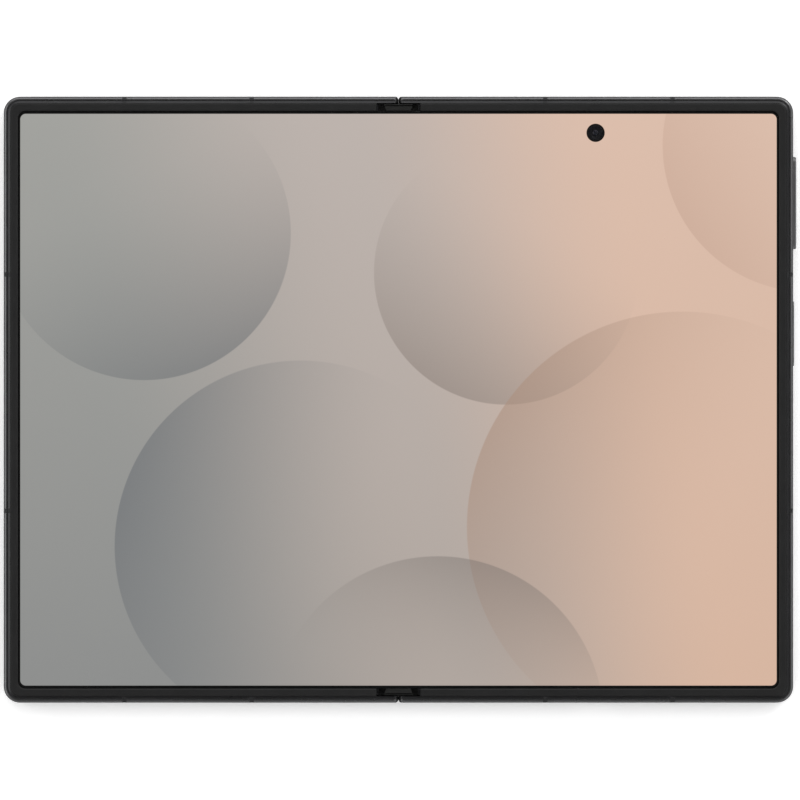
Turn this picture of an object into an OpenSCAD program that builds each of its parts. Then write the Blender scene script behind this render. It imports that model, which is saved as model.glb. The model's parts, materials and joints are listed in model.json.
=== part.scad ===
// Book-style folding smartphone, lying open on its back, in millimetres.
// X runs across the fold, Y along the fold line, Z up out of the inner screen.
// The fold line is at x = 0, and the surface that the phone lies on is at z = 0.

/* [Body] */
// Width of one half, from the fold line to its outer edge
half_w = 80.7; // [78:0.1:84]
// Height of the body along the fold line
body_h = 123.9; // [120:0.1:128]
// Thickness of one half, from its back to the top of the bezel
body_t = 4.9; // [4.9:0.1:5.6]
// Radius of the outer corners, seen from above
corner_r = 3.3; // [3.2:0.1:5]
// Gap between the two halves when the phone is open
seam_gap = 0.12; // [0.1:0.01:0.3]
// Radius of the corners where the halves meet, seen from above
seam_r = 0.6; // [0.3:0.05:0.9]
// Width of the metal rim
rim_w = 1.3; // [1.2:0.05:1.5]
// Radius of the rim's edge on the screen side
edge_r = 0.65; // [0.3:0.05:0.8]
// Radius of the rim's edge on the back
back_edge_r = 0.9; // [0.4:0.05:1]
// Distance of the rim's groove from its outer side
groove_in = 0.72; // [0.7:0.02:0.8]
// Width of the floor of the rim's groove
groove_w = 0.22; // [0.1:0.02:0.3]
// Depth of the rim's groove
groove_d = 0.12; // [0.06:0.02:0.2]
// Depth of the rim's edge below the top of the bezel
rim_drop = 0.2; // [0.1:0.05:0.3]
// Thickness of the plate under the inner screen
web_t = 0.55; // [0.4:0.05:0.6]
// Width of the metal lip beside the fold line on the back
lip_w = 1.8; // [1.4:0.1:3]
// Clearance between pieces that are glued or seated
fit = 0.05; // [0.03:0.01:0.07]

/* [Screens and glass] */
// Thickness of the folding screen
display_t = 0.4; // [0.3:0.05:0.45]
// Width of the raised bezel round the inner screen
bezel_w = 1.6; // [1.4:0.05:1.8]
// Height of the bezel above the screen
bezel_rise = 0.3; // [0.2:0.05:0.35]
// Radius of the bezel's top edges
bezel_edge_r = 0.3; // [0.1:0.05:0.4]
// Radius of the screen's opening at the bezel's inner corners
opening_r = 1.5; // [0.8:0.1:1.9]
// Thickness of the back glass and the cover glass
glass_t = 0.45; // [0.35:0.05:0.5]
// Thickness of the cover display under its glass
cover_display_t = 0.5; // [0.4:0.05:0.6]

/* [Hinge] */
// Distance of each fold axis from the fold line
axis_x = 1.5; // [1.5:0.01:1.54]
// Gap between the two bezels when the phone is closed
close_gap = 0.1; // [0.06:0.02:0.16]
// Gap between the spine and the back of the halves
spine_gap = 0.1; // [0.08:0.01:0.15]
// Wall of the spine cover
cover_t = 0.35; // [0.3:0.05:0.4]
// Radius of the hinge shafts
shaft_r = 0.38; // [0.34:0.01:0.42]
// Running clearance round the shafts and the gear pins
running = 0.03; // [0.02:0.01:0.05]
// Distance of the hinge modules from the top and bottom edges
module_edge = 4.05; // [3.8:0.05:6]
// Length of one bearing wall
bearing_l = 1.3; // [1:0.1:1.6]
// Face width of the gears
gear_w = 1.4; // [1:0.1:1.8]
// Width of one hinge arm along the fold line
arm_w = 3; // [2.4:0.1:4]
// Reach of a hinge arm into its half
arm_reach = 9.5; // [8.5:0.1:11]
// Length of the torque springs
spring_l = 8; // [5:0.5:11]
// Tooth module of the synchronising gears
tooth_module = 0.13; // [0.125:0.001:0.133]
// Radius at which the screen is divided between spine and halves
split_r = 1.9; // [1.85:0.05:2.2]

/* [Keys and tray] */
// Length of the volume key
volume_l = 18.9; // [14:0.1:22]
// Distance from the top edge to the middle of the volume key
volume_edge = 21.7; // [20:0.1:24]
// Height of the volume key above the side of the body
volume_proud = 0.68; // [0.4:0.02:0.9]
// Tilt of the volume key at full press, in degrees
volume_tilt = 1.5; // [0.8:0.1:1.6]
// Length of the power key
power_l = 13.3; // [10:0.1:16]
// Distance from the top edge to the middle of the power key
power_edge = 48.45; // [47:0.05:50]
// Height of the power key above the side of the body
power_proud = 0.25; // [0.22:0.01:0.5]
// Travel of the power key
power_travel = 0.2; // [0.1:0.02:0.2]
// Width of both keys across the side of the body
key_w = 2.2; // [1.6:0.1:2.4]
// Gap round the keys and the card tray
key_gap = 0.12; // [0.1:0.01:0.2]
// Length of the card tray's face
tray_l = 17.5; // [15:0.1:20]
// Width of the card tray's face across the side of the body
tray_w = 1.7; // [1.5:0.05:1.9]
// Depth of the card tray in the body
tray_depth = 15; // [12:0.5:16]

/* [Cameras] */
// Height of the lens rings above the back
camera_h = 1.5; // [1.2:0.1:2.4]
// Height of the camera plateau above the back
plateau_h = 1; // [0.6:0.1:1.1]
// Width of the camera plateau
plateau_w = 16.5; // [15:0.1:18]
// Length of the camera plateau
plateau_l = 38; // [37:0.5:42]
// Distance of the camera plateau from the outer and top edges
plateau_edge = 5.5; // [4.5:0.1:6.5]
// Outer radius of a lens ring
ring_r = 6.3; // [5.8:0.05:6.8]
// Radial width of a lens ring
ring_w = 1.1; // [0.8:0.05:1.3]
// Distance between the two rear lenses
lens_pitch = 14.5; // [14:0.1:15.5]
// Radius of the flash
flash_r = 1.9; // [1.5:0.05:2.2]
// Radius of the hole in the screen for the inner camera
punch_r = 1.85; // [1.6:0.05:2.1]
// Distance from the outer edge to the inner camera
punch_side = 40.4; // [38:0.1:43]
// Distance from the top edge to the inner camera
punch_edge = 7.4; // [7:0.05:8]

/* [Openings in the rim] */
// Distance from the outer edge to the middle of the connector and of the card tray
port_side = 40.35; // [40:0.05:41]
// Width of the connector's mouth
usb_l = 8.34; // [8:0.02:8.6]
// Height of the connector's mouth
usb_w = 2.56; // [2.4:0.02:2.7]
// Wall of the connector's shell
usb_t = 0.3; // [0.2:0.02:0.32]
// Depth of the connector
usb_depth = 6.6; // [6:0.1:7.2]
// Number of speaker holes in the bottom edge
speaker_holes = 6; // [4:1:8]
// Radius of one speaker hole
speaker_hole_r = 0.5; // [0.35:0.05:0.6]
// Distance between the speaker holes
speaker_pitch = 1.9; // [1.6:0.05:2]
// Distance from the outer edge to the middle of the speaker holes
speaker_side = 15.2; // [14.8:0.1:15.6]
// Radius of a microphone hole
mic_r = 0.35; // [0.25:0.05:0.5]
// Width of one antenna band
band_w = 0.9; // [0.6:0.05:1.2]
// Distance from the outer edge to the inner bands of the top and bottom edges
band_near_side = 50.7; // [49:0.1:52]
// Distance from the outer edge to the outer bands of the top and bottom edges
band_far_side = 24.7; // [23:0.1:26]
// Distance from the top edge to the upper band of the outer edge
band_upper_edge = 36.35; // [35:0.05:37]
// Distance from the bottom edge to the lower band of the outer edge
band_lower_edge = 39.25; // [38:0.05:41]

/* [Inside] */
// Gap between neighbouring pieces inside the halves
inner_gap = 0.1; // [0.05:0.01:0.15]
// Thickness of the circuit boards
board_t = 0.6; // [0.4:0.05:0.7]
// Margin of a circuit board outside its shields
board_margin = 2; // [1:0.1:3]
// Gap between the shields
shield_gap = 1.5; // [1:0.1:3]
// Width of the shield nearest the hinge
shield_w = 18; // [14:0.5:22]
// Length of the lower shield beside the cameras
shield_l = 11; // [8:0.5:16]
// Side of the body of the inner camera and of the cover camera
small_camera_side = 6; // [5:0.1:7]
// Side of a rear camera module
module_side = 11.6; // [10.5:0.1:12.4]
// Radius of a rear camera's barrel
barrel_r = 4.6; // [4:0.05:4.9]
// Outer radius of the charging coil
coil_r = 21; // [18:0.5:23]
// Radial width of the charging coil
coil_w = 9; // [6:0.5:11]
// Thickness of the charging coil
coil_t = 0.3; // [0.2:0.05:0.35]
// Length of the loudspeaker
speaker_l = 15; // [12:0.5:17]
// Length of the earpiece speaker
earpiece_l = 14; // [12:0.5:16]
// Width of the earpiece speaker
earpiece_w = 8; // [6:0.5:9]
// Width of the vibration motor
haptic_w = 8; // [6:0.5:10]
// Length of each closing magnet
magnet_l = 10; // [6:0.5:12]
// Thickness of each closing magnet
magnet_t = 1.65; // [1.2:0.05:1.7]
// Distance from the power key down to the upper closing magnets
magnet_gap = 6; // [2:0.5:12]
// Width of a key's switch
switch_w = 3; // [2:0.1:3.4]
// Height of a key's switch
switch_h = 1.6; // [1:0.1:2]
// Width of a flexible circuit
flex_w = 11; // [6:0.5:14]
// Thickness of a flexible circuit
flex_t = 0.1; // [0.06:0.01:0.11]
// Radius of a hinge screw's shank
screw_r = 0.5; // [0.4:0.05:0.6]

/* [Hidden] */
$fn = 64;

// Edges
half_h = body_h / 2;
rim_in = half_h - rim_w;
wall_in_x = half_w - rim_w;

// Heights
z_back = camera_h;
z_bezel = z_back + body_t;
z_rim = z_bezel - rim_drop;
z_screen = z_bezel - bezel_rise;
z_screen_low = z_screen - display_t;
z_web = z_screen_low - fit;
z_web_low = z_web - web_t;
z_glass = z_back + glass_t;
z_bay = z_glass + fit;
z_side = z_back + body_t / 2 - rim_drop / 2;

// The fold: each half turns about its own axis, at (axis_x, axis_z)
fold_angle = 90;
axis_z = z_bezel + close_gap / 2 - axis_x;
spine_r = axis_z - z_glass - spine_gap;
spine_in_r = spine_r - cover_t;
base_r = spine_in_r - fit;
knuckle_r = z_screen_low - axis_z - fit;
bay_x = axis_x + spine_r + 2 * fit;
cap_w = axis_x + 1.3;
ridge_l = 0.35;
end_gap = 0.25;
ledge_t = 0.3;
spine_y = half_h - rim_w - end_gap;
overlap = 0.2;
far = 200;

// The bezel and the screen under it
seat = 0.03;
bezel_out = rim_w + seat;
screen_inset = bezel_out + bezel_w + seat;
screen_x = half_w - screen_inset;
screen_y = half_h - screen_inset;

// The hinge modules, one at each end, from their outer end inwards
module_end_y = half_h - module_edge;
gear_y = module_end_y - bearing_l - inner_gap;
wall2_y = gear_y - gear_w - inner_gap;
arm_r_y = wall2_y - bearing_l - inner_gap;
arm_l_y = arm_r_y - arm_w - inner_gap;
wall3_y = arm_l_y - arm_w - inner_gap;
cam_l = 1.2;
cam_y = wall3_y - bearing_l - inner_gap;
spring_y = cam_y - cam_l - inner_gap;
wall4_y = spring_y - spring_l - inner_gap;
module_start_y = wall4_y - bearing_l;

// Hinge arms
arm_t = web_t;
arm_top = z_web - fit;
arm_step_x = bay_x + 0.15;
arm_step_w = 0.7;
inner_wall_t = 0.6;
arm_in_r = split_r + fit;
arm_out_r = spine_in_r - 2 * fit;
neck_w = 1.1;
base_floor_t = 0.4;
arm_low_top = z_web_low - fit;
arm_end_x = bay_x + arm_reach;
screw_fit = 0.02;
screw_head_r = 2 * screw_r;
screw_head_t = 0.35;
arm_holes = [for (f = [0.5, 0.85]) bay_x + f * arm_reach];

// Gears: each half's gear turns an idler, and the two idlers mesh
sync_teeth = 16;
idler_teeth = 10;
sync_pitch_r = tooth_module * sync_teeth / 2;
idler_x = tooth_module * idler_teeth / 2;
idler_drop = sqrt(pow(sync_pitch_r + idler_x, 2) - pow(axis_x - idler_x, 2));
idler_z = axis_z - idler_drop;
mesh_angle = atan2(idler_drop, axis_x - idler_x);
addendum = 0.85 * tooth_module;
dedendum = 1.15 * tooth_module;
idler_pin_r = 0.28;

// Openings and bands in the rim
band_near_x = half_w - band_near_side;
band_far_x = half_w - band_far_side;
band_upper_y = half_h - band_upper_edge;
band_lower_y = band_lower_edge - half_h;
speaker_x = half_w - speaker_side;
speaker_xs = [for (i = [0 : speaker_holes - 1])
    speaker_x + (i - (speaker_holes - 1) / 2) * speaker_pitch];
bottom_mic_gap = 6;
bottom_mic_x = band_near_x - bottom_mic_gap;
top_mic_gap = 12;
top_mic_x = band_near_x + top_mic_gap;

// Keys, tray and connector
volume_y = half_h - volume_edge;
power_y = half_h - power_edge;
flange_t = 0.4;
flange_lap = 0.4;
volume_half = volume_l / 2 + flange_lap;
volume_room = volume_half * sin(volume_tilt) + fit;
power_room = power_travel / 2;
switch_gap = 0.05;
pivot_r = 0.3;
pivot_x = wall_in_x - volume_room - flange_t / 2;
pivot_lap = 0.25;
port_x = half_w - port_side;
tray_pin_r = 0.45;
usb_recess = 0.35;
tray_t = 0.9;
tray_end_w = 5;
tray_body = tray_l - tray_end_w;
tray_shift = 1.5;
tray_end_y = tray_depth - half_h;

// Cameras
plateau_x = half_w - plateau_edge - plateau_w / 2;
lens_1_y = half_h - plateau_edge - plateau_w / 2;
lens_2_y = lens_1_y - lens_pitch;
flash_gap = 2;
flash_in_r = flash_r - 0.3;
flash_y = lens_2_y - ring_r - flash_r - flash_gap;
plateau_y = half_h - plateau_edge - plateau_l / 2;
punch_x = half_w - punch_side;
punch_y = half_h - punch_edge;
lens_in_r = ring_r - ring_w;
ring_edge_r = 0.2;
z_lens = 0.3;
lens_t = 0.5;

// Room inside the halves
z_inner_top = z_web_low - 2 * fit;
z_cover_bay = z_glass + cover_display_t + inner_gap;
arm_room = 1.2;
battery_x = arm_end_x + arm_room;
battery_low = z_bay + coil_t + inner_gap;
key_room = 1.8;
side_board_x = wall_in_x - key_room;
battery_end_x = side_board_x - key_room / 2;
usb_end_y = usb_depth - half_h;
bottom_room = 11;
battery_low_y = usb_end_y + bottom_room;
battery_gap = 2;
speaker_end_y = battery_low_y - battery_gap;
flash_room = 8;
battery_top_y = flash_y - flash_r - flash_room;
sub_board_step = 4;
board_low_y = battery_top_y + inner_gap;
board_top_y = punch_y - small_camera_side / 2 - inner_gap;
board_end_x = plateau_x - module_side / 2 - inner_gap;
sub_board_low_y = board_low_y + sub_board_step;
flex_mid = board_low_y + flex_w / 2 + 3 * inner_gap;

// Shapes along the fold line, from a section in X and Z
module along_y(y0, y1) {
    translate([0, y1, 0]) rotate([90, 0, 0]) linear_extrude(y1 - y0) children();
}
// The same shape at both ends of the fold line
module both_ends() {
    children();
    mirror([0, 1, 0]) children();
}
module on_left() {
    mirror([1, 0, 0]) children();
}
module box(x0, x1, y0, y1, z0, z1) {
    translate([x0, y0, z0]) cube([x1 - x0, y1 - y0, z1 - z0]);
}
module rod_y(x, z, r, y0, y1) {
    translate([x, y1, z]) rotate([90, 0, 0]) cylinder(r = r, h = y1 - y0);
}
module disc(x, y, r, z0, z1) {
    translate([x, y, z0]) cylinder(r = r, h = z1 - z0);
}
// A slot with round ends, lying along X or Y in plan
module stadium(l, w) {
    square([l - w, w], center = true);
    for (s = [-1, 1]) translate([s * (l - w) / 2, 0]) circle(d = w);
}
// A plate between x0 and x1, symmetric about the X axis, with round outer corners
module half_plate(x0, x1, y, r, z0, z1) {
    translate([0, 0, z0]) linear_extrude(z1 - z0) {
        translate([x0, -y]) square([x1 - r - x0, 2 * y]);
        translate([x0, r - y]) square([x1 - x0, 2 * (y - r)]);
        for (s = [-1, 1]) translate([x1 - r, s * (y - r)]) circle(r = r);
    }
}
// A section swept along the three outer sides of a half_plate with the same sizes; its x is
// the corner's radius
module swept(x0, x1, y, r) {
    translate([x1 - r, 0, 0]) along_y(r - y, y - r) children();
    both_ends() {
        translate([x0, y - r, 0]) rotate([90, 0, 90]) linear_extrude(x1 - r - x0) children();
        translate([x1 - r, y - r, 0]) rotate_extrude(angle = 90) children();
    }
}
module around_half(x0) {
    swept(x0, half_w, half_h, corner_r) children();
}
// What a rounding takes off a square corner at (x, z) that points towards (sx, sz)
module corner_waste(x, z, sx, sz, r) {
    if (r > 0) translate([x - sx * r, z - sz * r]) difference() {
        translate([sx > 0 ? 0 : -r - 0.1, sz > 0 ? 0 : -r - 0.1]) square(r + 0.1);
        circle(r = r);
    }
}
// A rectangle with its inner top corner and its two outer corners rounded
module round_section(x0, x1, z0, z1, top_in_r, top_r, low_r) {
    difference() {
        translate([x0, z0]) square([x1 - x0, z1 - z0]);
        corner_waste(x0, z1, -1, 1, top_in_r);
        corner_waste(x1, z1, 1, 1, top_r);
        corner_waste(x1, z0, 1, -1, low_r);
    }
}

// What the keys, tray, connector and sound holes cut from the rim
module side_key(l, y, x0, x1, grow) {
    translate([x0, y, z_side]) rotate([90, 0, 90])
        linear_extrude(x1 - x0) stadium(l + 2 * grow, key_w + 2 * grow);
}
module edge_slot(l, w, x, z, y0, y1) {
    translate([x, y1, z]) rotate([90, 0, 0]) linear_extrude(y1 - y0) stadium(l, w);
}

// Frames
module rim_section() {
    difference() {
        round_section(corner_r - rim_w, corner_r, z_back, z_rim, 0, edge_r, back_edge_r);
        // The groove, whose inner side slopes up to the bezel
        polygon([[corner_r - rim_w, z_rim + 1], [corner_r - rim_w, z_rim],
                 [corner_r - groove_in - groove_w, z_rim - groove_d],
                 [corner_r - groove_in, z_rim - groove_d], [corner_r - groove_in, z_rim + 1]]);
    }
}
module rim() {
    difference() {
        around_half(seam_gap / 2) rim_section();
        both_ends() difference() {
            box(-1, seam_gap / 2 + seam_r, half_h - seam_r, body_h, 0, far);
            disc(seam_gap / 2 + seam_r, half_h - seam_r, seam_r, -1, far + 1);
        }
        // Above the axis the ends are round, so that the halves clear each other
        along_y(-far, far) difference() {
            translate([-1, axis_z]) square([1 + axis_x, far]);
            translate([axis_x, axis_z]) circle(r = axis_x - seam_gap / 2);
        }
    }
}
module band_boxes(clear) {
    w = band_w / 2 - clear;
    for (s = [-1, 1], x = [band_near_x, band_far_x])
        box(x - w, x + w, s > 0 ? rim_in - clear : -far, s > 0 ? far : clear - rim_in, 0, far);
    for (y = [band_upper_y, band_lower_y])
        box(wall_in_x - clear, far, y - w, y + w, 0, far);
}
module antenna_bands() {
    color("dimgray") intersection() {
        around_half(seam_gap / 2) rim_section();
        band_boxes(0.005);
    }
}
module plain_frame() {
    difference() {
        union() {
            rim();
            half_plate(bay_x, wall_in_x + overlap, rim_in + overlap,
                       corner_r - rim_w + overlap, z_web_low, z_web);
            box(seam_gap / 2, lip_w, -rim_in - overlap, rim_in + overlap, z_back, z_glass);
            box(arm_step_x, arm_step_x + inner_wall_t, -rim_in - overlap, rim_in + overlap,
                z_bay, z_web_low + overlap);
            // Ledges that cover the seam of the back's glass beside the spine's ends
            both_ends() box(lip_w - overlap, arm_step_x + overlap, rim_in - end_gap + fit,
                            rim_in + overlap, z_bay, z_bay + ledge_t);
        }
        band_boxes(0);
        arm_pockets();
        for (s = [-1, 1]) translate([0, s * flex_mid, 0])
            box(bay_x - 1, arm_step_x + 1, -flex_w / 2 - fit, flex_w / 2 + fit,
                axis_z - 2 * fit, z_web_low);
    }
}
module arm_pockets() {
    both_ends() for (y = [arm_r_y, arm_l_y]) {
        box(bay_x - 1, arm_step_x + arm_step_w + 2 * fit, y - arm_w - fit, y + fit,
            arm_low_top - arm_t - fit, z_web + fit);
        for (x = arm_holes)
            disc(x, y - arm_w / 2, screw_r + screw_fit, z_web_low - 1, z_web + 1);
    }
}
module round_holes(xs, r, y0, y1) {
    for (x = xs) rod_y(x, z_side, r, y0, y1);
}
// Seat of the lower end of the volume key's pin
module pivot_lug() {
    box(pivot_x - 2 * pivot_r, wall_in_x + overlap, volume_y - 3 * pivot_r,
        volume_y + 3 * pivot_r, z_bay, z_side - key_w / 2 - inner_gap);
}
module right_frame() {
    color("dimgray") difference() {
        union() {
            plain_frame();
            pivot_lug();
        }
        disc(pivot_x, volume_y, pivot_r + running, z_bay - 1, z_web_low + pivot_lap + fit);
        side_key(volume_l, volume_y, wall_in_x - inner_gap, far, key_gap);
        side_key(power_l, power_y, wall_in_x - inner_gap, far, key_gap);
        edge_slot(usb_l + 2 * usb_t + 2 * fit, usb_w + 2 * usb_t + 2 * fit, port_x, z_side,
                  -far, -rim_in + 1);
        box(port_x - usb_l / 2 - usb_t - 1, port_x + usb_l / 2 + usb_t + 1,
            -rim_in, usb_end_y + 1, z_web_low - 1, z_web + 1);
        round_holes(speaker_xs, speaker_hole_r, -far, 1 - rim_in);
        round_holes([bottom_mic_x], mic_r, -far, 1 - rim_in);
        round_holes([top_mic_x], mic_r, rim_in - 1, far);
        disc(punch_x, punch_y, punch_r + 0.35, z_web_low - 1, z_web + 1);
    }
}
module left_frame() {
    color("dimgray") on_left() difference() {
        plain_frame();
        edge_slot(tray_l + 2 * key_gap, tray_w + 2 * key_gap, port_x, z_side,
                  -far, -rim_in + 1);
        round_holes(speaker_xs, speaker_hole_r, rim_in - 1, far);
        round_holes([bottom_mic_x], mic_r, -far, 1 - rim_in);
    }
}

// Inner screen and its bezel
module bezel() {
    side = screen_x + seat;
    end = screen_y + seat;
    color([0.13, 0.13, 0.13]) difference() {
        union() {
            around_half(bay_x) round_section(0, corner_r - bezel_out, z_web + seat,
                                             z_bezel, 0, bezel_edge_r, 0);
            both_ends() box(side - 2 * opening_r, side + overlap, end - 2 * opening_r,
                            end + overlap, z_web + seat, z_bezel);
        }
        half_plate(bay_x - 1, side - opening_r / 2, end - opening_r / 2, opening_r / 2, 0, far);
        swept(bay_x - 1, side, end, opening_r) {
            translate([0, z_web]) square([opening_r, z_bezel + 1 - z_web]);
            corner_waste(opening_r, z_bezel, -1, 1, bezel_edge_r);
        }
    }
}
module screen_blank() {
    half_plate(0, screen_x, screen_y, opening_r, z_screen_low, z_screen);
}
module inner_screen_half() {
    color("rosybrown") difference() {
        screen_blank();
        along_y(-far, far) {
            translate([axis_x, axis_z]) circle(r = split_r);
            translate([-1, 0]) square([1 + axis_x, far]);
        }
        children();
    }
}
module inner_screen_right() {
    inner_screen_half() disc(punch_x, punch_y, punch_r, 0, far);
}
module inner_screen_fold() {
    color("rosybrown") intersection() {
        box(-screen_x, screen_x, -screen_y, screen_y, z_screen_low, z_screen);
        along_y(-far, far) {
            for (s = [-1, 1]) translate([s * axis_x, axis_z]) circle(r = split_r - fit);
            translate([-axis_x, 0]) square([2 * axis_x, far]);
        }
    }
}

// Backs
module back_panel() {
    half_plate(lip_w + fit, wall_in_x - fit, rim_in - fit, corner_r - rim_w - fit,
               z_back, z_glass);
}
module rear_glass() {
    color([0.16, 0.16, 0.17]) difference() {
        back_panel();
        for (y = [lens_1_y, lens_2_y]) disc(plateau_x, y, barrel_r + fit, 0, far);
        disc(plateau_x, flash_y, flash_in_r, 0, far);
    }
}
module cover_glass() {
    color([0.05, 0.05, 0.06]) on_left() back_panel();
}
module cover_display() {
    color([0.1, 0.1, 0.12]) on_left() difference() {
        half_plate(arm_step_x + inner_wall_t + fit, wall_in_x - 1.5, rim_in - 1.5, 1,
                   z_glass + seat, z_glass + seat + cover_display_t);
        disc(punch_x, punch_y, punch_r + 0.2, 0, far);
    }
}

// Rear cameras
module pill(l, w, r, z0, z1) {
    straight = l - w;
    module edge() {
        translate([0, z0]) square([w / 2 - r, z1 - z0]);
        translate([0, z0 + r]) square([w / 2, z1 - z0 - r]);
        translate([w / 2 - r, z0 + r]) circle(r = r);
    }
    along_y(-straight / 2, straight / 2) {
        edge();
        mirror([1, 0]) edge();
    }
    both_ends() translate([0, straight / 2, 0]) rotate_extrude(angle = 180) edge();
}
module camera_plateau() {
    color([0.16, 0.16, 0.17]) difference() {
        translate([plateau_x, plateau_y, 0])
            pill(plateau_l, plateau_w, 0.35, z_back - plateau_h, z_back);
        for (y = [lens_1_y, lens_2_y]) disc(plateau_x, y, ring_r + fit, -1, far);
        disc(plateau_x, flash_y, flash_r + fit, -1, far);
    }
}
module lens_rings() {
    color("silver") for (y = [lens_1_y, lens_2_y]) translate([plateau_x, y, 0])
        rotate_extrude() {
            translate([lens_in_r, ring_edge_r]) square([ring_w, z_back - ring_edge_r]);
            translate([lens_in_r + ring_edge_r, 0])
                square([ring_w - 2 * ring_edge_r, ring_edge_r + 0.01]);
            for (x = [lens_in_r + ring_edge_r, ring_r - ring_edge_r])
                translate([x, ring_edge_r]) circle(r = ring_edge_r);
        }
}
module lens_glasses() {
    color([0.1, 0.1, 0.14]) for (y = [lens_1_y, lens_2_y])
        disc(plateau_x, y, lens_in_r - fit, z_lens, z_lens + lens_t);
}
module flash_lens() {
    color("ivory") union() {
        disc(plateau_x, flash_y, flash_r, z_back - plateau_h + fit, z_back);
        disc(plateau_x, flash_y, flash_in_r - fit, z_back - 0.1, z_bay + 2 * fit);
    }
}
module rear_camera(y, barrel) {
    side = module_side / 2;
    color([0.2, 0.2, 0.22]) union() {
        disc(plateau_x, y, barrel, z_lens + lens_t + fit, z_bay + 0.5);
        box(plateau_x - side, plateau_x + side, y - side, y + side, z_bay, z_inner_top);
    }
}
module main_camera_module() {
    rear_camera(lens_1_y, barrel_r);
}
module wide_camera_module() {
    rear_camera(lens_2_y, barrel_r - 0.6);
}
module small_camera(z_tip) {
    side = small_camera_side / 2;
    z_body = z_bay + 0.9;
    color([0.15, 0.15, 0.17]) union() {
        disc(punch_x, punch_y, punch_r - fit, min(z_tip, z_body), max(z_tip, z_body + 0.1));
        box(punch_x - side, punch_x + side, punch_y - side, punch_y + side, z_body,
            z_inner_top);
    }
}
module inner_camera() {
    small_camera(z_screen - 0.15);
}
module cover_camera() {
    on_left() small_camera(z_glass + 0.03);
}

// Boards, batteries and the rest of the inside
module main_board() {
    color("darkgreen") box(battery_x, board_end_x, board_low_y, board_top_y,
        z_inner_top - board_t, z_inner_top);
}
module board_shields() {
    x0 = battery_x + board_margin;
    x1 = x0 + shield_w + shield_gap;
    y0 = board_low_y + board_margin;
    y1 = y0 + shield_l + shield_gap;
    top = z_inner_top - board_t;
    color("silver") {
        box(x0, x0 + shield_w, y0, board_top_y - board_margin, z_bay + inner_gap, top);
        box(x1, board_end_x - board_margin, y0, y0 + shield_l, z_bay + inner_gap, top);
        box(x1, board_end_x - board_margin, y1, board_top_y - board_margin,
            z_bay + 2 * inner_gap, top);
    }
}
module main_battery() {
    color("darkslategray") box(battery_x, battery_end_x, battery_low_y, battery_top_y,
        battery_low, z_inner_top);
}
module charging_coil() {
    color("peru") translate([(battery_x + battery_end_x) / 2,
                             (battery_low_y + battery_top_y) / 2, z_bay])
        difference() {
            cylinder(r = coil_r, h = coil_t);
            translate([0, 0, -1]) cylinder(r = coil_r - coil_w, h = coil_t + 2);
        }
}
module haptic_motor() {
    color("silver") box(battery_x, battery_x + haptic_w, inner_gap - rim_in, speaker_end_y,
        z_bay, z_inner_top);
}
module usb_connector() {
    l = usb_l + 2 * usb_t;
    w = usb_w + 2 * usb_t;
    front = usb_recess - half_h;
    tongue_l = usb_l * 0.8;
    tongue_t = usb_w * 0.27;
    color("silver") union() {
        difference() {
            edge_slot(l, w, port_x, z_side, front, usb_end_y);
            edge_slot(usb_l, usb_w, port_x, z_side, front - 1, usb_end_y - usb_t);
        }
        box(port_x - tongue_l / 2, port_x + tongue_l / 2, front + 1, usb_end_y - usb_t / 2,
            z_side - tongue_t / 2, z_side + tongue_t / 2);
    }
}
module usb_board() {
    color("darkgreen") box(battery_x + haptic_w + battery_gap,
        speaker_x - speaker_l / 2 - battery_gap / 2, usb_end_y + 2 * inner_gap,
        battery_low_y - battery_gap / 2, z_side - board_t / 2, z_side + board_t / 2);
}
module bottom_speaker() {
    color([0.15, 0.15, 0.15]) box(speaker_x - speaker_l / 2, speaker_x + speaker_l / 2,
        inner_gap - rim_in, speaker_end_y, z_bay, z_inner_top);
}
module key_switches() {
    back_t = 0.3;
    volume_top = wall_in_x - volume_room * 2 - flange_t - switch_gap;
    power_top = wall_in_x - power_room - power_travel - flange_t - switch_gap;
    module switch(x, y) {
        box(side_board_x - back_t / 2, x, y - switch_w / 2, y + switch_w / 2,
            z_side - switch_h / 2, z_side + switch_h / 2);
    }
    color("goldenrod") union() {
        box(side_board_x - back_t, side_board_x, power_y - power_l / 2,
            volume_y + volume_l / 2, z_bay, z_inner_top);
        for (s = [-1, 1]) switch(volume_top, volume_y + s * volume_l / 3);
        switch(power_top, power_y);
    }
}
module magnets(z0) {
    upper_y = power_y - power_l / 2 - magnet_gap - magnet_l / 2;
    color("lightsteelblue") for (y = [battery_low_y, upper_y])
        box(wall_in_x - fit - magnet_t, wall_in_x - fit, y - magnet_l / 2, y + magnet_l / 2,
            z0, z_inner_top);
}
module sub_board() {
    color("darkgreen") on_left() box(battery_x, battery_end_x, sub_board_low_y, board_top_y,
        z_inner_top - board_t, z_inner_top);
}
module second_battery() {
    color("darkslategray") on_left() box(battery_x, battery_end_x,
        tray_end_y + battery_gap, sub_board_low_y - inner_gap, z_cover_bay, z_inner_top);
}
module earpiece_speaker() {
    color([0.15, 0.15, 0.15]) on_left() box(speaker_x - earpiece_l / 2,
        speaker_x + earpiece_l / 2, rim_in - inner_gap - earpiece_w, rim_in - inner_gap,
        z_cover_bay, z_inner_top);
}

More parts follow.
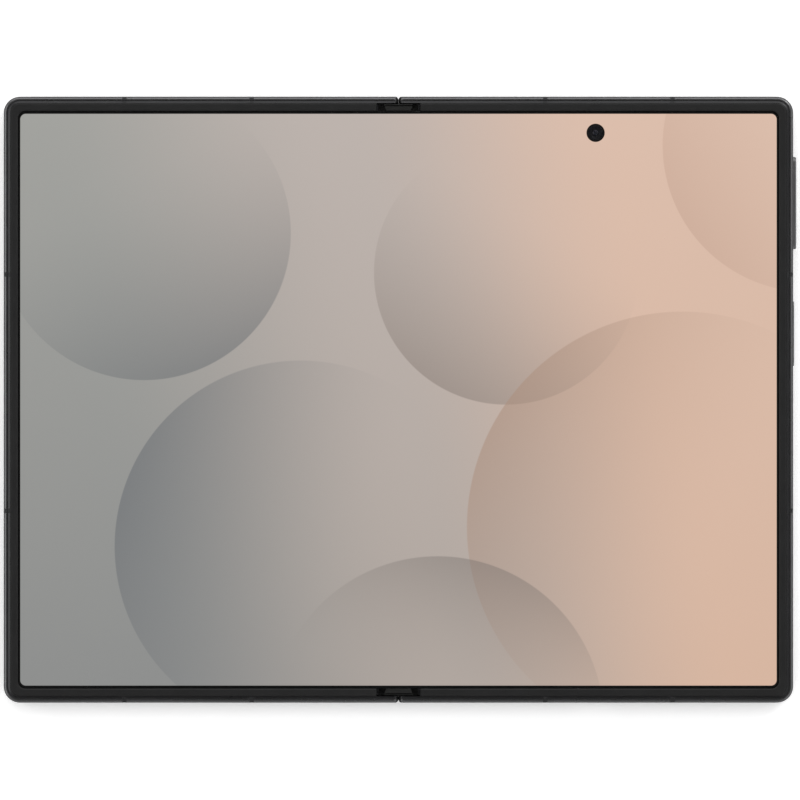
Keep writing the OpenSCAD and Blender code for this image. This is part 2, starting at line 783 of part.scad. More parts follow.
// Keys and card tray
module volume_key() {
    flange = wall_in_x - volume_room;
    color("gray") union() {
        disc(pivot_x, volume_y, pivot_r, z_bay + pivot_lap, z_web_low + pivot_lap);
        side_key(volume_l, volume_y, flange - flange_t, half_w + volume_proud, 0);
        side_key(volume_l + 2 * flange_lap, volume_y, flange - flange_t, flange, 0);
    }
}
module power_key() {
    flange = wall_in_x - power_room;
    color("gray") union() {
        side_key(power_l, power_y, flange - flange_t, half_w + power_proud, 0);
        side_key(power_l + 2 * flange_lap, power_y, flange - flange_t, flange, 0);
    }
}
module card_tray() {
    front = fit - half_h;
    face_t = 1.1;
    frame_w = 0.6;
    x0 = port_x - tray_body / 2 + tray_shift;
    x1 = x0 + tray_body;
    color("gray") on_left() difference() {
        union() {
            edge_slot(tray_l, tray_w, port_x, z_side, front, front + face_t);
            box(x0, x1, front + face_t - 0.1, tray_end_y, z_side - tray_t / 2,
                z_side + tray_t / 2);
        }
        rod_y(port_x - tray_l / 2 + tray_shift, z_side, tray_pin_r, front - 1,
              front + face_t + 1);
        box(x0 + frame_w, x1 - frame_w, front + face_t + frame_w, tray_end_y - frame_w,
            z_side, z_side + 1);
    }
}
module card_reader() {
    wall = 0.25;
    end_gap = 0.3;
    x0 = port_x - tray_body / 2 + tray_shift - key_gap;
    x1 = x0 + tray_body + 2 * key_gap;
    z0 = z_side - tray_t / 2 - key_gap;
    z1 = z_side + tray_t / 2 + key_gap;
    color("silver") on_left() difference() {
        box(x0 - wall, x1 + wall, 0.6 - rim_in, tray_end_y + end_gap + wall, z0 - wall,
            z1 + wall);
        box(x0, x1, -far, tray_end_y + end_gap, z0, z1);
    }
}

// Spine: a section in X and Z, bounded by an arc round each fold axis
module spine_section(r, top) {
    intersection() {
        union() {
            for (s = [-1, 1]) translate([s * axis_x, axis_z]) circle(r = r);
            translate([-axis_x, axis_z - r]) square([2 * axis_x, r]);
        }
        translate([-far, 0]) square([2 * far, top]);
    }
}
module spine_cover() {
    color("dimgray") along_y(-spine_y, spine_y) difference() {
        spine_section(spine_r, axis_z);
        spine_section(spine_in_r, axis_z + 1);
        translate([-axis_x, axis_z - 1]) square([2 * axis_x, 2]);
    }
}
module bearing_wall(y, l) {
    both_ends() difference() {
        along_y(y - l, y) {
            spine_section(base_r, axis_z);
            for (s = [-1, 1]) translate([s * axis_x, axis_z]) circle(r = knuckle_r);
            translate([-axis_x, axis_z - 0.1]) square([2 * axis_x, 0.5]);
        }
        for (s = [-1, 1]) rod_y(s * axis_x, axis_z, shaft_r + running, y - l - 1, y + 1);
        if (y >= wall2_y) for (s = [-1, 1])
            rod_y(s * idler_x, idler_z, idler_pin_r + running, y - l - 1, y + 1);
    }
}
module hinge_base() {
    floor_top = axis_z - base_r + base_floor_t;
    rib_w = 0.5;
    arm_side_x = axis_x - neck_w / 2 - fit;
    color("gray") union() {
        difference() {
            along_y(-module_end_y, module_end_y) spine_section(base_r, floor_top);
            both_ends() {
                box(-far, far, gear_y - gear_w - inner_gap, gear_y + inner_gap, 0, far);
                box(arm_side_x, far, arm_r_y - arm_w - inner_gap, arm_r_y + inner_gap, 0, far);
                box(-far, -arm_side_x, arm_l_y - arm_w - inner_gap, arm_l_y + inner_gap,
                    0, far);
            }
        }
        for (y = [module_end_y, wall2_y, wall3_y, wall4_y]) bearing_wall(y, bearing_l);
        both_ends() box(fit - axis_x, axis_x - fit, gear_y - gear_w - 2 * inner_gap,
                        gear_y + 2 * inner_gap, floor_top - base_floor_t,
                        idler_z - idler_x - addendum - fit);
        both_ends() box(fit - axis_x, axis_x - fit, flex_mid - flex_w / 2 - 1,
                        flex_mid + flex_w / 2 + 1, floor_top - 0.1, axis_z - fit);
        both_ends() box(-rib_w / 2, rib_w / 2, flex_mid + flex_w / 2 + 0.9,
                        module_start_y + 0.1, floor_top - 0.1, z_web);
        box(-rib_w / 2, rib_w / 2, flex_w / 2 + 0.9 - flex_mid, flex_mid - flex_w / 2 - 0.9,
            floor_top - 0.1, z_web);
    }
}
// A block on the spine with sloping shoulders, w wide on each side of the fold line
module cap_section(w, slope, shoulder, top) {
    low = axis_z - inner_gap;
    polygon([[-w, low], [w, low], [w, shoulder], [w - slope, top], [slope - w, top],
             [-w, shoulder]]);
}
module hinge_caps() {
    y0 = screen_y + fit;
    ridge_y = spine_y - ridge_l;
    color([0.12, 0.12, 0.12]) both_ends() {
        along_y(y0, spine_y) spine_section(base_r, axis_z);
        along_y(y0, ridge_y) cap_section(cap_w, 0.3, z_screen_low, z_screen - 2 * fit);
        along_y(ridge_y - 0.01, spine_y)
            cap_section(cap_w + 0.15, 0.2, z_screen_low + 2 * fit, z_screen + fit);
    }
}
module screen_side_shafts() {
    both_ends() rod_y(axis_x, axis_z, shaft_r, module_start_y + 0.1, module_end_y - 0.1);
}

// Hinge arms, each on its own stretch of the shafts, which reach round the folded screen
module arm_section() {
    translate([axis_x, axis_z]) {
        circle(r = knuckle_r);
        translate([-neck_w / 2, -(arm_in_r + arm_out_r) / 2])
            square([neck_w, (arm_in_r + arm_out_r) / 2]);
        difference() {
            circle(r = arm_out_r);
            circle(r = arm_in_r);
            translate([-far, -far]) square([far, 2 * far]);
            translate([-far, arm_top - arm_t - axis_z]) square([2 * far, far]);
        }
    }
    difference() {
        translate([axis_x, arm_top - arm_t])
            square([arm_step_x + arm_step_w - axis_x, arm_t]);
        translate([axis_x, axis_z]) circle(r = arm_in_r);
    }
    translate([arm_step_x, arm_low_top - arm_t])
        square([arm_step_w, arm_top - arm_low_top + arm_t]);
    translate([arm_step_x, arm_low_top - arm_t])
        square([arm_end_x - arm_step_x, arm_t]);
}
module hinge_arm(y) {
    color("silver") both_ends() difference() {
        along_y(y - arm_w, y) arm_section();
        rod_y(axis_x, axis_z, shaft_r, y - arm_w - 1, y + 1);
        for (x = arm_holes)
            disc(x, y - arm_w / 2, screw_r + screw_fit, z_back, z_web + 1);
    }
}
module arm_screws(y) {
    low = arm_low_top - arm_t;
    color("lightgray") both_ends() for (x = arm_holes) union() {
        disc(x, y - arm_w / 2, screw_r, low - 0.1, z_web - fit);
        disc(x, y - arm_w / 2, screw_head_r, low - screw_head_t, low);
    }
}

// Gears
module toothed(n, phase) {
    r = tooth_module * n / 2;
    step = 360 / n;
    edge = [[-0.3, r - dedendum], [-0.225, r], [-0.11, r + addendum],
            [0.11, r + addendum], [0.225, r], [0.3, r - dedendum]];
    polygon([for (i = [0 : n - 1], p = edge)
        let (a = phase + (i + p[0]) * step) [p[1] * cos(a), p[1] * sin(a)]]);
}
// The teeth of a half's gear that mesh in a quarter turn, and its hub. When the phone is
// open, a tooth faces the idler if half_tooth is 0, and a gap if it is 1.
module sync_gear(half_tooth) {
    angle = 180 + mesh_angle;
    half_pitch = 180 / sync_teeth;
    sector = fold_angle + 2 * half_pitch;
    start = angle - fold_angle - half_pitch + half_tooth * half_pitch;
    wedge = [for (i = [0 : 6]) let (a = start + i * sector / 6)
        [2 * sync_pitch_r * cos(a), 2 * sync_pitch_r * sin(a)]];
    color("darkkhaki") both_ends() difference() {
        along_y(gear_y - gear_w, gear_y) translate([axis_x, axis_z]) {
            intersection() {
                toothed(sync_teeth, angle + half_tooth * half_pitch);
                polygon(concat([[0, 0]], wedge));
            }
            circle(r = knuckle_r);
        }
        rod_y(axis_x, axis_z, shaft_r, 0, far);
    }
}
module idler_gear(half_tooth) {
    phase = mesh_angle + (1 - half_tooth) * 180 / idler_teeth;
    color("khaki") both_ends() union() {
        along_y(gear_y - gear_w, gear_y) translate([idler_x, idler_z])
            toothed(idler_teeth, phase);
        rod_y(idler_x, idler_z, idler_pin_r, wall2_y - bearing_l + 0.1, module_end_y - 0.1);
    }
}
module torque_springs() {
    color("lightgray") both_ends() for (s = [-1, 1]) difference() {
        rod_y(s * axis_x, axis_z, knuckle_r - 0.02, spring_y - spring_l, spring_y);
        rod_y(s * axis_x, axis_z, shaft_r + running, 0, far);
    }
}
module detent_cams() {
    stem_w = 0.9;
    stem_low = axis_z - base_r + base_floor_t + fit;
    color("silver") both_ends() difference() {
        along_y(cam_y - cam_l, cam_y) {
            for (s = [-1, 1]) translate([s * axis_x, axis_z]) circle(r = knuckle_r - 0.02);
            translate([-axis_x, axis_z - stem_w / 2]) square([2 * axis_x, stem_w]);
            translate([-stem_w / 2, stem_low]) square([stem_w, axis_z - stem_low]);
        }
        for (s = [-1, 1]) rod_y(s * axis_x, axis_z, shaft_r + running, 0, far);
    }
}

// Flexible circuits across the hinge, in three stretches
module flex(x0, x1) {
    z0 = axis_z + seat;
    for (s = [-1, 1]) translate([0, s * flex_mid, 0])
        box(x0, x1, -flex_w / 2, flex_w / 2, z0, z0 + flex_t);
}
module hinge_flex_half() {
    color("orange") flex(axis_x + split_r + inner_gap, battery_x - 3 * inner_gap);
}
module hinge_flex_spine() {
    color("orange") flex(inner_gap - axis_x - split_r, axis_x + split_r - inner_gap);
}

right_frame();
antenna_bands();  // right_antenna_bands
bezel();  // right_bezel
inner_screen_right();
rear_glass();
camera_plateau();
lens_rings();
lens_glasses();
flash_lens();
main_camera_module();
wide_camera_module();
inner_camera();
main_board();
board_shields();
main_battery();
charging_coil();
haptic_motor();
usb_connector();
usb_board();
bottom_speaker();
key_switches();
magnets(z_bay);  // right_magnets
hinge_arm(arm_r_y);  // hinge_arm_right
color("silver") screen_side_shafts();  // hinge_shaft_right
sync_gear(0);  // sync_gear_right
arm_screws(arm_r_y);  // arm_screws_right
hinge_flex_half();  // hinge_flex_right
volume_key();
power_key();
spine_cover();
hinge_base();
hinge_caps();
inner_screen_fold();
idler_gear(0);  // idler_gear_right
on_left() idler_gear(1);  // idler_gear_left
torque_springs();
detent_cams();
hinge_flex_spine();
left_frame();
on_left() antenna_bands();  // left_antenna_bands
on_left() bezel();  // left_bezel
on_left() inner_screen_half();  // inner_screen_left
cover_glass();
cover_display();
cover_camera();
earpiece_speaker();
sub_board();
second_battery();
card_reader();
on_left() magnets(z_cover_bay);  // left_magnets
on_left() hinge_arm(arm_l_y);  // hinge_arm_left
color("silver") on_left() screen_side_shafts();  // hinge_shaft_left
on_left() sync_gear(1);  // sync_gear_left
on_left() arm_screws(arm_l_y);  // arm_screws_left
on_left() hinge_flex_half();  // hinge_flex_left
card_tray();
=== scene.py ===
"""Looks of a book-style folding smartphone that lies open on its back.

Sizes and places of the phone are millimetres. Those of the lamps, the camera and the stage are
metres, as Blender's own units are.
"""
import json
import math

import bpy
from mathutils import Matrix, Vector

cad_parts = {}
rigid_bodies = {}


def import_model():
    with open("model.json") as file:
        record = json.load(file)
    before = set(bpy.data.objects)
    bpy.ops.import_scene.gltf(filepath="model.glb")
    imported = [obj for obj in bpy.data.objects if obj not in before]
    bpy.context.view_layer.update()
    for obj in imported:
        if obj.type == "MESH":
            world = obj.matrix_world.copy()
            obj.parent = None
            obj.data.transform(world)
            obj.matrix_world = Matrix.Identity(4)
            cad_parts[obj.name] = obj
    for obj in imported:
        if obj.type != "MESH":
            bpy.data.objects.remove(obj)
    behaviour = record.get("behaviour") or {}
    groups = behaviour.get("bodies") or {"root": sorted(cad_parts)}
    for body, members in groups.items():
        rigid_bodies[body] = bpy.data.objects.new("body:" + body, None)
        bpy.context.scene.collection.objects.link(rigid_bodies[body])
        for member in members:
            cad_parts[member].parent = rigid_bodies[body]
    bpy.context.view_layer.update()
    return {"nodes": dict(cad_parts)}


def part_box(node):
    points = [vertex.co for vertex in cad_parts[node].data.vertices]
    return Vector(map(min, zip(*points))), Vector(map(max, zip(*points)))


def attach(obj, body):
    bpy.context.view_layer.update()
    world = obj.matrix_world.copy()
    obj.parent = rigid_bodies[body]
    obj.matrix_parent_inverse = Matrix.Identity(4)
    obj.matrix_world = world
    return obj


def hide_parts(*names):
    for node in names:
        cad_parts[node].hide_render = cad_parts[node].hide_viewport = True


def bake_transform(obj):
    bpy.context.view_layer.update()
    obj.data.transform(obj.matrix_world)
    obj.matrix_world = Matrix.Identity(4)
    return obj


for thing in list(bpy.data.objects):
    bpy.data.objects.remove(thing)

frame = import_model()
nodes = frame["nodes"]

MM = 0.001


def box_mm(node):
    """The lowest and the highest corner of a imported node, in millimetres."""
    return [[round(value / MM, 4) for value in corner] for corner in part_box(node)]


def middle_mm(node):
    """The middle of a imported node's box, in millimetres."""
    return [round((low + high) / 2, 4) for low, high in zip(*box_mm(node))]


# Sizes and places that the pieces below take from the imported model
RIM_X, RIM_Y, RIM_TOP = box_mm("right_frame")[1]
SCREEN_LOW = box_mm("inner_screen_right")[0][2]
SCREEN_X, SCREEN_Y, SCREEN_TOP = box_mm("inner_screen_right")[1]
INNER_CAMERA = middle_mm("inner_camera")[:2]
REAR_X, UPPER_LENS_Y, _ = middle_mm("main_camera_module")
LOWER_LENS_Y = middle_mm("wide_camera_module")[1]
FLASH_Y = middle_mm("flash_lens")[1]
KEY_Z = middle_mm("power_key")[2]
CONNECTOR_X = middle_mm("usb_connector")[0]

# Corners of the rim and of the screen, and the screen's stretch that bends, from the middle
RIM_CORNER = 3.3
SCREEN_CORNER = 1.5
BEND_X = 3.3
CAMERA_HOLE = 1.8

# The lit part of the screen, and what one unit of its picture map spans
LIT_X, LIT_Y = 77.3, 58.43
LIT_CORNER = 1.15
PICTURE_SPAN = 160

# Each side key: its body, its length, the inner ends of its cap and flange, its edge's round
KEYS = {
    "volume_key": ("volume_rocker", 18.9, 78.8, 78.69, 0.28),
    "power_key": ("power_button", 13.3, 79.0, 78.9, 0.2),
}
KEY_WIDTH = 2.2
KEY_PIN = 0.3

# Each lamp, in metres and watts: its place, its width and height, and its power
LAMPS = {
    "lamp_back": ((0.0, 1.28, 0.92), 2.0, 0.9, 8.6),
    "lamp_left": ((-1.28, 0.0, 0.92), 1.6, 0.9, 6.7),
    "lamp_right": ((1.3, 0.0, 0.85), 1.6, 0.7, 2.8),
    "lamp_back_right": ((0.93, 0.93, 0.85), 0.42, 0.8, 6.2),
    "lamp_front_right": ((0.95, -0.95, 0.85), 0.6, 0.6, 2.0),
}

# The stage and the camera, in metres. The view is as wide as given at the rim's upper edge
FLOOR_SIZE, FLOOR_Z = 6, -0.00002
CEILING_SIZE, CEILING_PLACE = 5.1, (0.55, -0.55, 2.4)
CAMERA_PLACE = (0.000317, -0.00006, 1.6)
VIEW_WIDTH = 0.1635
SENSOR_WIDTH = 36


# ---------------- modelling by hand

def deselect_all():
    """Leaves nothing selected, because every operator works on what is selected."""
    bpy.ops.object.select_all(action="DESELECT")


def name_new_piece(name):
    piece = bpy.context.object
    piece.name = name
    piece.data.name = name
    return piece


def add_block(name, low, high):
    """A block between two corners, with its place in its mesh."""
    deselect_all()
    centre = [(a + b) / 2 * MM for a, b in zip(low, high)]
    bpy.ops.mesh.primitive_cube_add(size=1, location=centre)
    piece = name_new_piece(name)
    piece.scale = [(b - a) * MM for a, b in zip(low, high)]
    bpy.ops.object.transform_apply()
    return piece


def make_active(piece):
    deselect_all()
    piece.select_set(True)
    bpy.context.view_layer.objects.active = piece


def edit(piece, kind):
    """Opens a piece in edit mode with nothing selected. Kind is VERT, EDGE or FACE."""
    make_active(piece)
    bpy.ops.object.mode_set(mode="EDIT")
    bpy.ops.mesh.select_mode(type=kind)
    bpy.ops.mesh.select_all(action="DESELECT")


def pick_edges(piece, wanted):
    """Selects the edges for which wanted(one end, other end) is true, in millimetres."""
    edit(piece, "EDGE")
    bpy.ops.object.mode_set(mode="OBJECT")
    points = piece.data.vertices
    for edge in piece.data.edges:
        a, b = (points[i].co / MM for i in edge.vertices)
        edge.select = bool(wanted(a, b))
    bpy.ops.object.mode_set(mode="EDIT")


def bevel_picked(width, segments):
    """Rounds the picked edges, and leaves edit mode."""
    bpy.ops.mesh.bevel(offset=width * MM, segments=segments, affect="EDGES")
    bpy.ops.object.mode_set(mode="OBJECT")


def done(piece, smooth_angle=35):
    """Merges doubles, turns the faces outwards, smooths them and leaves edit mode."""
    make_active(piece)
    bpy.ops.object.mode_set(mode="EDIT")
    bpy.ops.mesh.select_all(action="SELECT")
    bpy.ops.mesh.remove_doubles(threshold=1e-7)
    bpy.ops.mesh.normals_make_consistent(inside=False)
    bpy.ops.object.mode_set(mode="OBJECT")
    bpy.ops.object.shade_smooth_by_angle(angle=math.radians(smooth_angle))
    apply_modifier(piece, "WEIGHTED_NORMAL", keep_sharp=True, weight=80)


def slice_across(piece, axis, places):
    """Cuts rows of edges across a piece with the bisect tool, at places in millimetres."""
    normal = [0.0, 0.0, 0.0]
    normal[axis] = 1.0
    for place in places:
        edit(piece, "FACE")
        bpy.ops.mesh.select_all(action="SELECT")
        point = [0.0, 0.0, 0.0]
        point[axis] = place * MM
        bpy.ops.mesh.bisect(plane_co=point, plane_no=normal, threshold=1e-7)
        bpy.ops.object.mode_set(mode="OBJECT")


def turn(name, centre, profile, sides=64):
    """A turned piece about an upright axis: rings are extruded and resized one by one.

    profile is a list of (radius, height), which starts and ends on the axis.
    """
    deselect_all()
    rings = profile[1:]
    radius, height = rings[0]
    x, y = (value * MM for value in centre)
    bpy.ops.mesh.primitive_circle_add(vertices=sides, radius=radius * MM, fill_type="NGON",
                                      location=(x, y, height * MM))
    piece = name_new_piece(name)
    bpy.ops.object.transform_apply()
    bpy.ops.object.mode_set(mode="EDIT")
    bpy.ops.mesh.select_all(action="SELECT")
    for (r0, z0), (r1, z1) in zip(rings, rings[1:]):
        bpy.ops.mesh.extrude_region_move(
            TRANSFORM_OT_translate={"value": (0, 0, (z1 - z0) * MM)})
        if r1 == 0:
            bpy.ops.mesh.merge(type="CENTER")
        elif r1 != r0:
            bpy.ops.transform.resize(value=(r1 / r0, r1 / r0, 1), center_override=(x, y, 0))
    bpy.ops.object.mode_set(mode="OBJECT")
    return piece


def apply_modifier(piece, kind, **settings):
    """Adds a modifier with its settings, and applies it at once."""
    make_active(piece)
    tool = piece.modifiers.new(kind.lower(), kind)
    for key, value in settings.items():
        setattr(tool, key, value)
    bpy.ops.object.modifier_apply(modifier=tool.name)


def cut_with(piece, cutter):
    """Cuts a closed piece out of another, and throws the cutter away."""
    apply_modifier(piece, "BOOLEAN", object=cutter, operation="DIFFERENCE", solver="EXACT")
    bpy.data.objects.remove(cutter)


def copy_piece(piece, name, shift):
    """A copy with its own mesh, moved by shift in millimetres."""
    twin = piece.copy()
    twin.data = piece.data.copy()
    bpy.context.collection.objects.link(twin)
    make_active(twin)
    twin.location = [step * MM for step in shift]
    bpy.ops.object.transform_apply()
    return name_new_piece(name)


def join(pieces, name):
    deselect_all()
    for piece in pieces:
        piece.select_set(True)
    bpy.context.view_layer.objects.active = pieces[0]
    bpy.ops.object.join()
    return name_new_piece(name)


def fit_picture_map(piece):
    """A flat UV map of the picture on the screen, with the middle of the phone at 0.5."""
    if not piece.data.uv_layers:
        piece.data.uv_layers.new(name="picture")
    layer = piece.data.uv_layers[0]
    layer.name = "picture"
    for loop in piece.data.loops:
        point = piece.data.vertices[loop.vertex_index].co / MM
        layer.data[loop.index].uv = (point.x / PICTURE_SPAN + 0.5, point.y / PICTURE_SPAN + 0.5)


# ---------------- node helpers

class Sheet:
    """A node tree with short names for what is added to it."""

    def __init__(self, tree):
        self.tree = tree

    def add(self, kind, **values):
        node = self.tree.nodes.new(kind)
        for key, value in values.items():
            setattr(node, key, value)
        return node

    def feed(self, socket, value):
        """Links an output to a socket, or writes a value into it."""
        if isinstance(value, bpy.types.NodeSocket):
            self.tree.links.new(value, socket)
        else:
            socket.default_value = value

    def wire(self, kind, *inputs, **values):
        """Adds a node, feeds its sockets in their order, and gives its first output."""
        node = self.add(kind, **values)
        for socket, value in zip(node.inputs, inputs):
            self.feed(socket, value)
        return node.outputs[0] if node.outputs else None

    def math(self, operation, a, b=0.0, clamp=False):
        return self.wire("ShaderNodeMath", a, b, operation=operation, use_clamp=clamp)

    def vector(self, operation, a, b=(0, 0, 0)):
        node = self.add("ShaderNodeVectorMath", operation=operation)
        self.feed(node.inputs[0], a)
        if operation not in ("LENGTH", "NORMALIZE"):
            self.feed(node.inputs[1], b)
        number = operation in ("LENGTH", "DOT_PRODUCT", "DISTANCE")
        return node.outputs["Value" if number else "Vector"]

    def ramp_value(self, value, low, high, to_low=0.0, to_high=1.0, smooth=False):
        node = self.add("ShaderNodeMapRange",
                        interpolation_type="SMOOTHSTEP" if smooth else "LINEAR")
        self.feed(node.inputs["Value"], value)
        self.feed(node.inputs["From Min"], low)
        self.feed(node.inputs["From Max"], high)
        self.feed(node.inputs["To Min"], to_low)
        self.feed(node.inputs["To Max"], to_high)
        return node.outputs["Result"]

    def mix(self, share, a, b):
        """A colour between a and b. The node's colour sockets are its inputs 6 and 7."""
        node = self.add("ShaderNodeMix", data_type="RGBA")
        self.feed(node.inputs["Factor"], share)
        self.feed(node.inputs[6], a)
        self.feed(node.inputs[7], b)
        return node.outputs[2]

    def between(self, noise, dark, light, low=0.35, high=0.65):
        """A colour that goes from dark to light as a noise goes from low to high."""
        return self.mix(self.ramp_value(noise, low, high), dark, light)

    def noise(self, place, scale, detail=2.0, rough=0.5):
        node = self.add("ShaderNodeTexNoise")
        self.feed(node.inputs["Vector"], place)
        self.feed(node.inputs["Scale"], scale)
        self.feed(node.inputs["Detail"], detail)
        self.feed(node.inputs["Roughness"], rough)
        return node.outputs["Fac"]

    def stretched(self, place, scale):
        """A place multiplied by a scale along each axis."""
        return self.vector("MULTIPLY", place, scale)

    def axes(self, place):
        node = self.add("ShaderNodeSeparateXYZ")
        self.feed(node.inputs[0], place)
        return node.outputs

    def axes_mm(self, place):
        return self.axes(self.stretched(place, (1 / MM, 1 / MM, 1 / MM)))

    def length(self, x, y):
        squares = self.math("ADD", self.math("MULTIPLY", x, x), self.math("MULTIPLY", y, y))
        return self.math("SQRT", squares)

    def corner_reach(self, x, y, half_x, half_y, corner):
        """Grows outwards across a rounded outline, and is as large as its corner there."""
        over_x, over_y = (
            self.math("MAXIMUM", self.math("SUBTRACT", self.math("ABSOLUTE", value),
                                           half - corner), 0.0)
            for value, half in ((x, half_x), (y, half_y)))
        return self.length(over_x, over_y)

    def wave(self, value, rate):
        """Rows of round ridges, from 0 to 1."""
        return self.math("ABSOLUTE", self.math("SINE", self.math("MULTIPLY", value, rate)))

    def lowered(self, value, mask, share):
        """A value less a share of a mask."""
        return self.math("SUBTRACT", value, self.math("MULTIPLY", mask, share))

    def bump(self, height, strength, distance):
        node = self.add("ShaderNodeBump")
        self.feed(node.inputs["Height"], height)
        node.inputs["Strength"].default_value = strength
        node.inputs["Distance"].default_value = distance * MM
        return node.outputs["Normal"]

    def seen_rays(self):
        """The Light Path, and whether a ray sees the stage directly, in gloss or through glass."""
        rays = self.add("ShaderNodeLightPath").outputs
        indirect = self.math("MAXIMUM", rays["Is Glossy Ray"], rays["Is Transmission Ray"])
        return rays, self.math("MAXIMUM", rays["Is Camera Ray"], indirect)

    def surface(self, shader, tone, rough, normal=None, **settings):
        """Feeds a shader its colour, roughness and normal, and sets what is the same all over."""
        self.feed(shader["Base Color"], tone)
        self.feed(shader["Roughness"], rough)
        if normal is not None:
            self.feed(shader["Normal"], normal)
        for socket, value in settings.items():
            shader[socket.replace("_", " ")].default_value = value


def new_group(name, takes, gives):
    """A shader node group with named sockets; takes and gives are (name, kind, value)."""
    tree = bpy.data.node_groups.new(name, "ShaderNodeTree")
    for label, kind, value in takes:
        socket = tree.interface.new_socket(label, in_out="INPUT", socket_type=kind)
        socket.default_value = value
    for label, kind in gives:
        tree.interface.new_socket(label, in_out="OUTPUT", socket_type=kind)
    sheet = Sheet(tree)
    return sheet, sheet.add("NodeGroupInput").outputs, sheet.add("NodeGroupOutput").inputs


FLOAT, COLOUR, PLACE = "NodeSocketFloat", "NodeSocketColor", "NodeSocketVector"


def colour(red, green, blue):
    """A colour given as it shows on a screen, from 0 to 255, in Blender's linear values."""
    def linear(c):
        c /= 255
        return c / 12.92 if c <= 0.04045 else ((c + 0.055) / 1.055) ** 2.4
    return (linear(red), linear(green), linear(blue), 1.0)


# ---------------- effects used by many materials

def make_fine_grain():
    """Grain of a blasted or moulded surface, with wider clouds in it."""
    s, takes, gives = new_group(
        "fine_grain",
        [("Place", PLACE, (0, 0, 0)), ("Grain", FLOAT, 0.1), ("Clouds", FLOAT, 6.0)],
        [("Height", FLOAT), ("Cloud", FLOAT)])
    grain = s.noise(takes["Place"], s.math("DIVIDE", 1 / MM, takes["Grain"]), 3.0, 0.6)
    cloud = s.noise(takes["Place"], s.math("DIVIDE", 1 / MM, takes["Clouds"]), 4.0, 0.55)
    s.feed(gives["Height"], grain)
    s.feed(gives["Cloud"], cloud)
    return s.tree


def make_handling():
    """Faint smears and dust from hands, which change the gloss here and there."""
    s, takes, gives = new_group(
        "handling",
        [("Place", PLACE, (0, 0, 0)), ("Smear", FLOAT, 14.0), ("Amount", FLOAT, 1.0)],
        [("Mask", FLOAT)])
    size = s.math("DIVIDE", 1 / MM, takes["Smear"])
    bent = s.noise(takes["Place"], size, 5.0, 0.62)
    wide = s.ramp_value(bent, 0.5, 0.72, smooth=True)
    lines = s.noise(s.stretched(takes["Place"], (1.0, 0.25, 1.0)),
                    s.math("MULTIPLY", size, 9.0), 3.0, 0.7)
    fine = s.ramp_value(lines, 0.52, 0.78, smooth=True)
    both = s.math("MULTIPLY", wide, s.math("ADD", 0.55, s.math("MULTIPLY", fine, 0.45)))
    s.feed(gives["Mask"], s.math("MULTIPLY", both, takes["Amount"], clamp=True))
    return s.tree


def make_brushing():
    """Fine lines from a brush or a lathe, drawn out along one axis by Stretch."""
    s, takes, gives = new_group(
        "brushing",
        [("Place", PLACE, (0, 0, 0)), ("Stretch", PLACE, (1, 1, 1)), ("Line", FLOAT, 0.05)],
        [("Height", FLOAT), ("Streak", FLOAT)])
    drawn = s.vector("MULTIPLY", takes["Place"], takes["Stretch"])
    size = s.math("DIVIDE", 1 / MM, takes["Line"])
    s.feed(gives["Height"], s.noise(drawn, size, 2.0, 0.6))
    s.feed(gives["Streak"], s.noise(drawn, s.math("MULTIPLY", size, 0.2), 3.0, 0.5))
    return s.tree


def make_round_patch():
    """How far a place is inside a circle, as a crisp mask and as a fade towards one side."""
    s, takes, gives = new_group(
        "round_patch",
        [("Place", PLACE, (0, 0, 0)), ("Centre", PLACE, (0, 0, 0)), ("Radius", FLOAT, 20.0),
         ("Lean", PLACE, (1, 0, 0)), ("Reach", FLOAT, 30.0)],
        [("Inside", FLOAT), ("Fade", FLOAT)])
    away = s.vector("SUBTRACT", takes["Place"], takes["Centre"])
    far = s.vector("LENGTH", away)
    edge = s.math("SUBTRACT", takes["Radius"], far)
    s.feed(gives["Inside"], s.ramp_value(edge, -0.12, 0.12, smooth=True))
    side = s.vector("DOT_PRODUCT", away, s.vector("NORMALIZE", takes["Lean"]))
    from_rim = s.math("SUBTRACT", s.math("ADD", side, takes["Reach"]), takes["Radius"])
    s.feed(gives["Fade"], s.math("DIVIDE", from_rim, takes["Reach"], clamp=True))
    return s.tree


FINE_GRAIN = make_fine_grain()
HANDLING = make_handling()
BRUSHING = make_brushing()
ROUND_PATCH = make_round_patch()


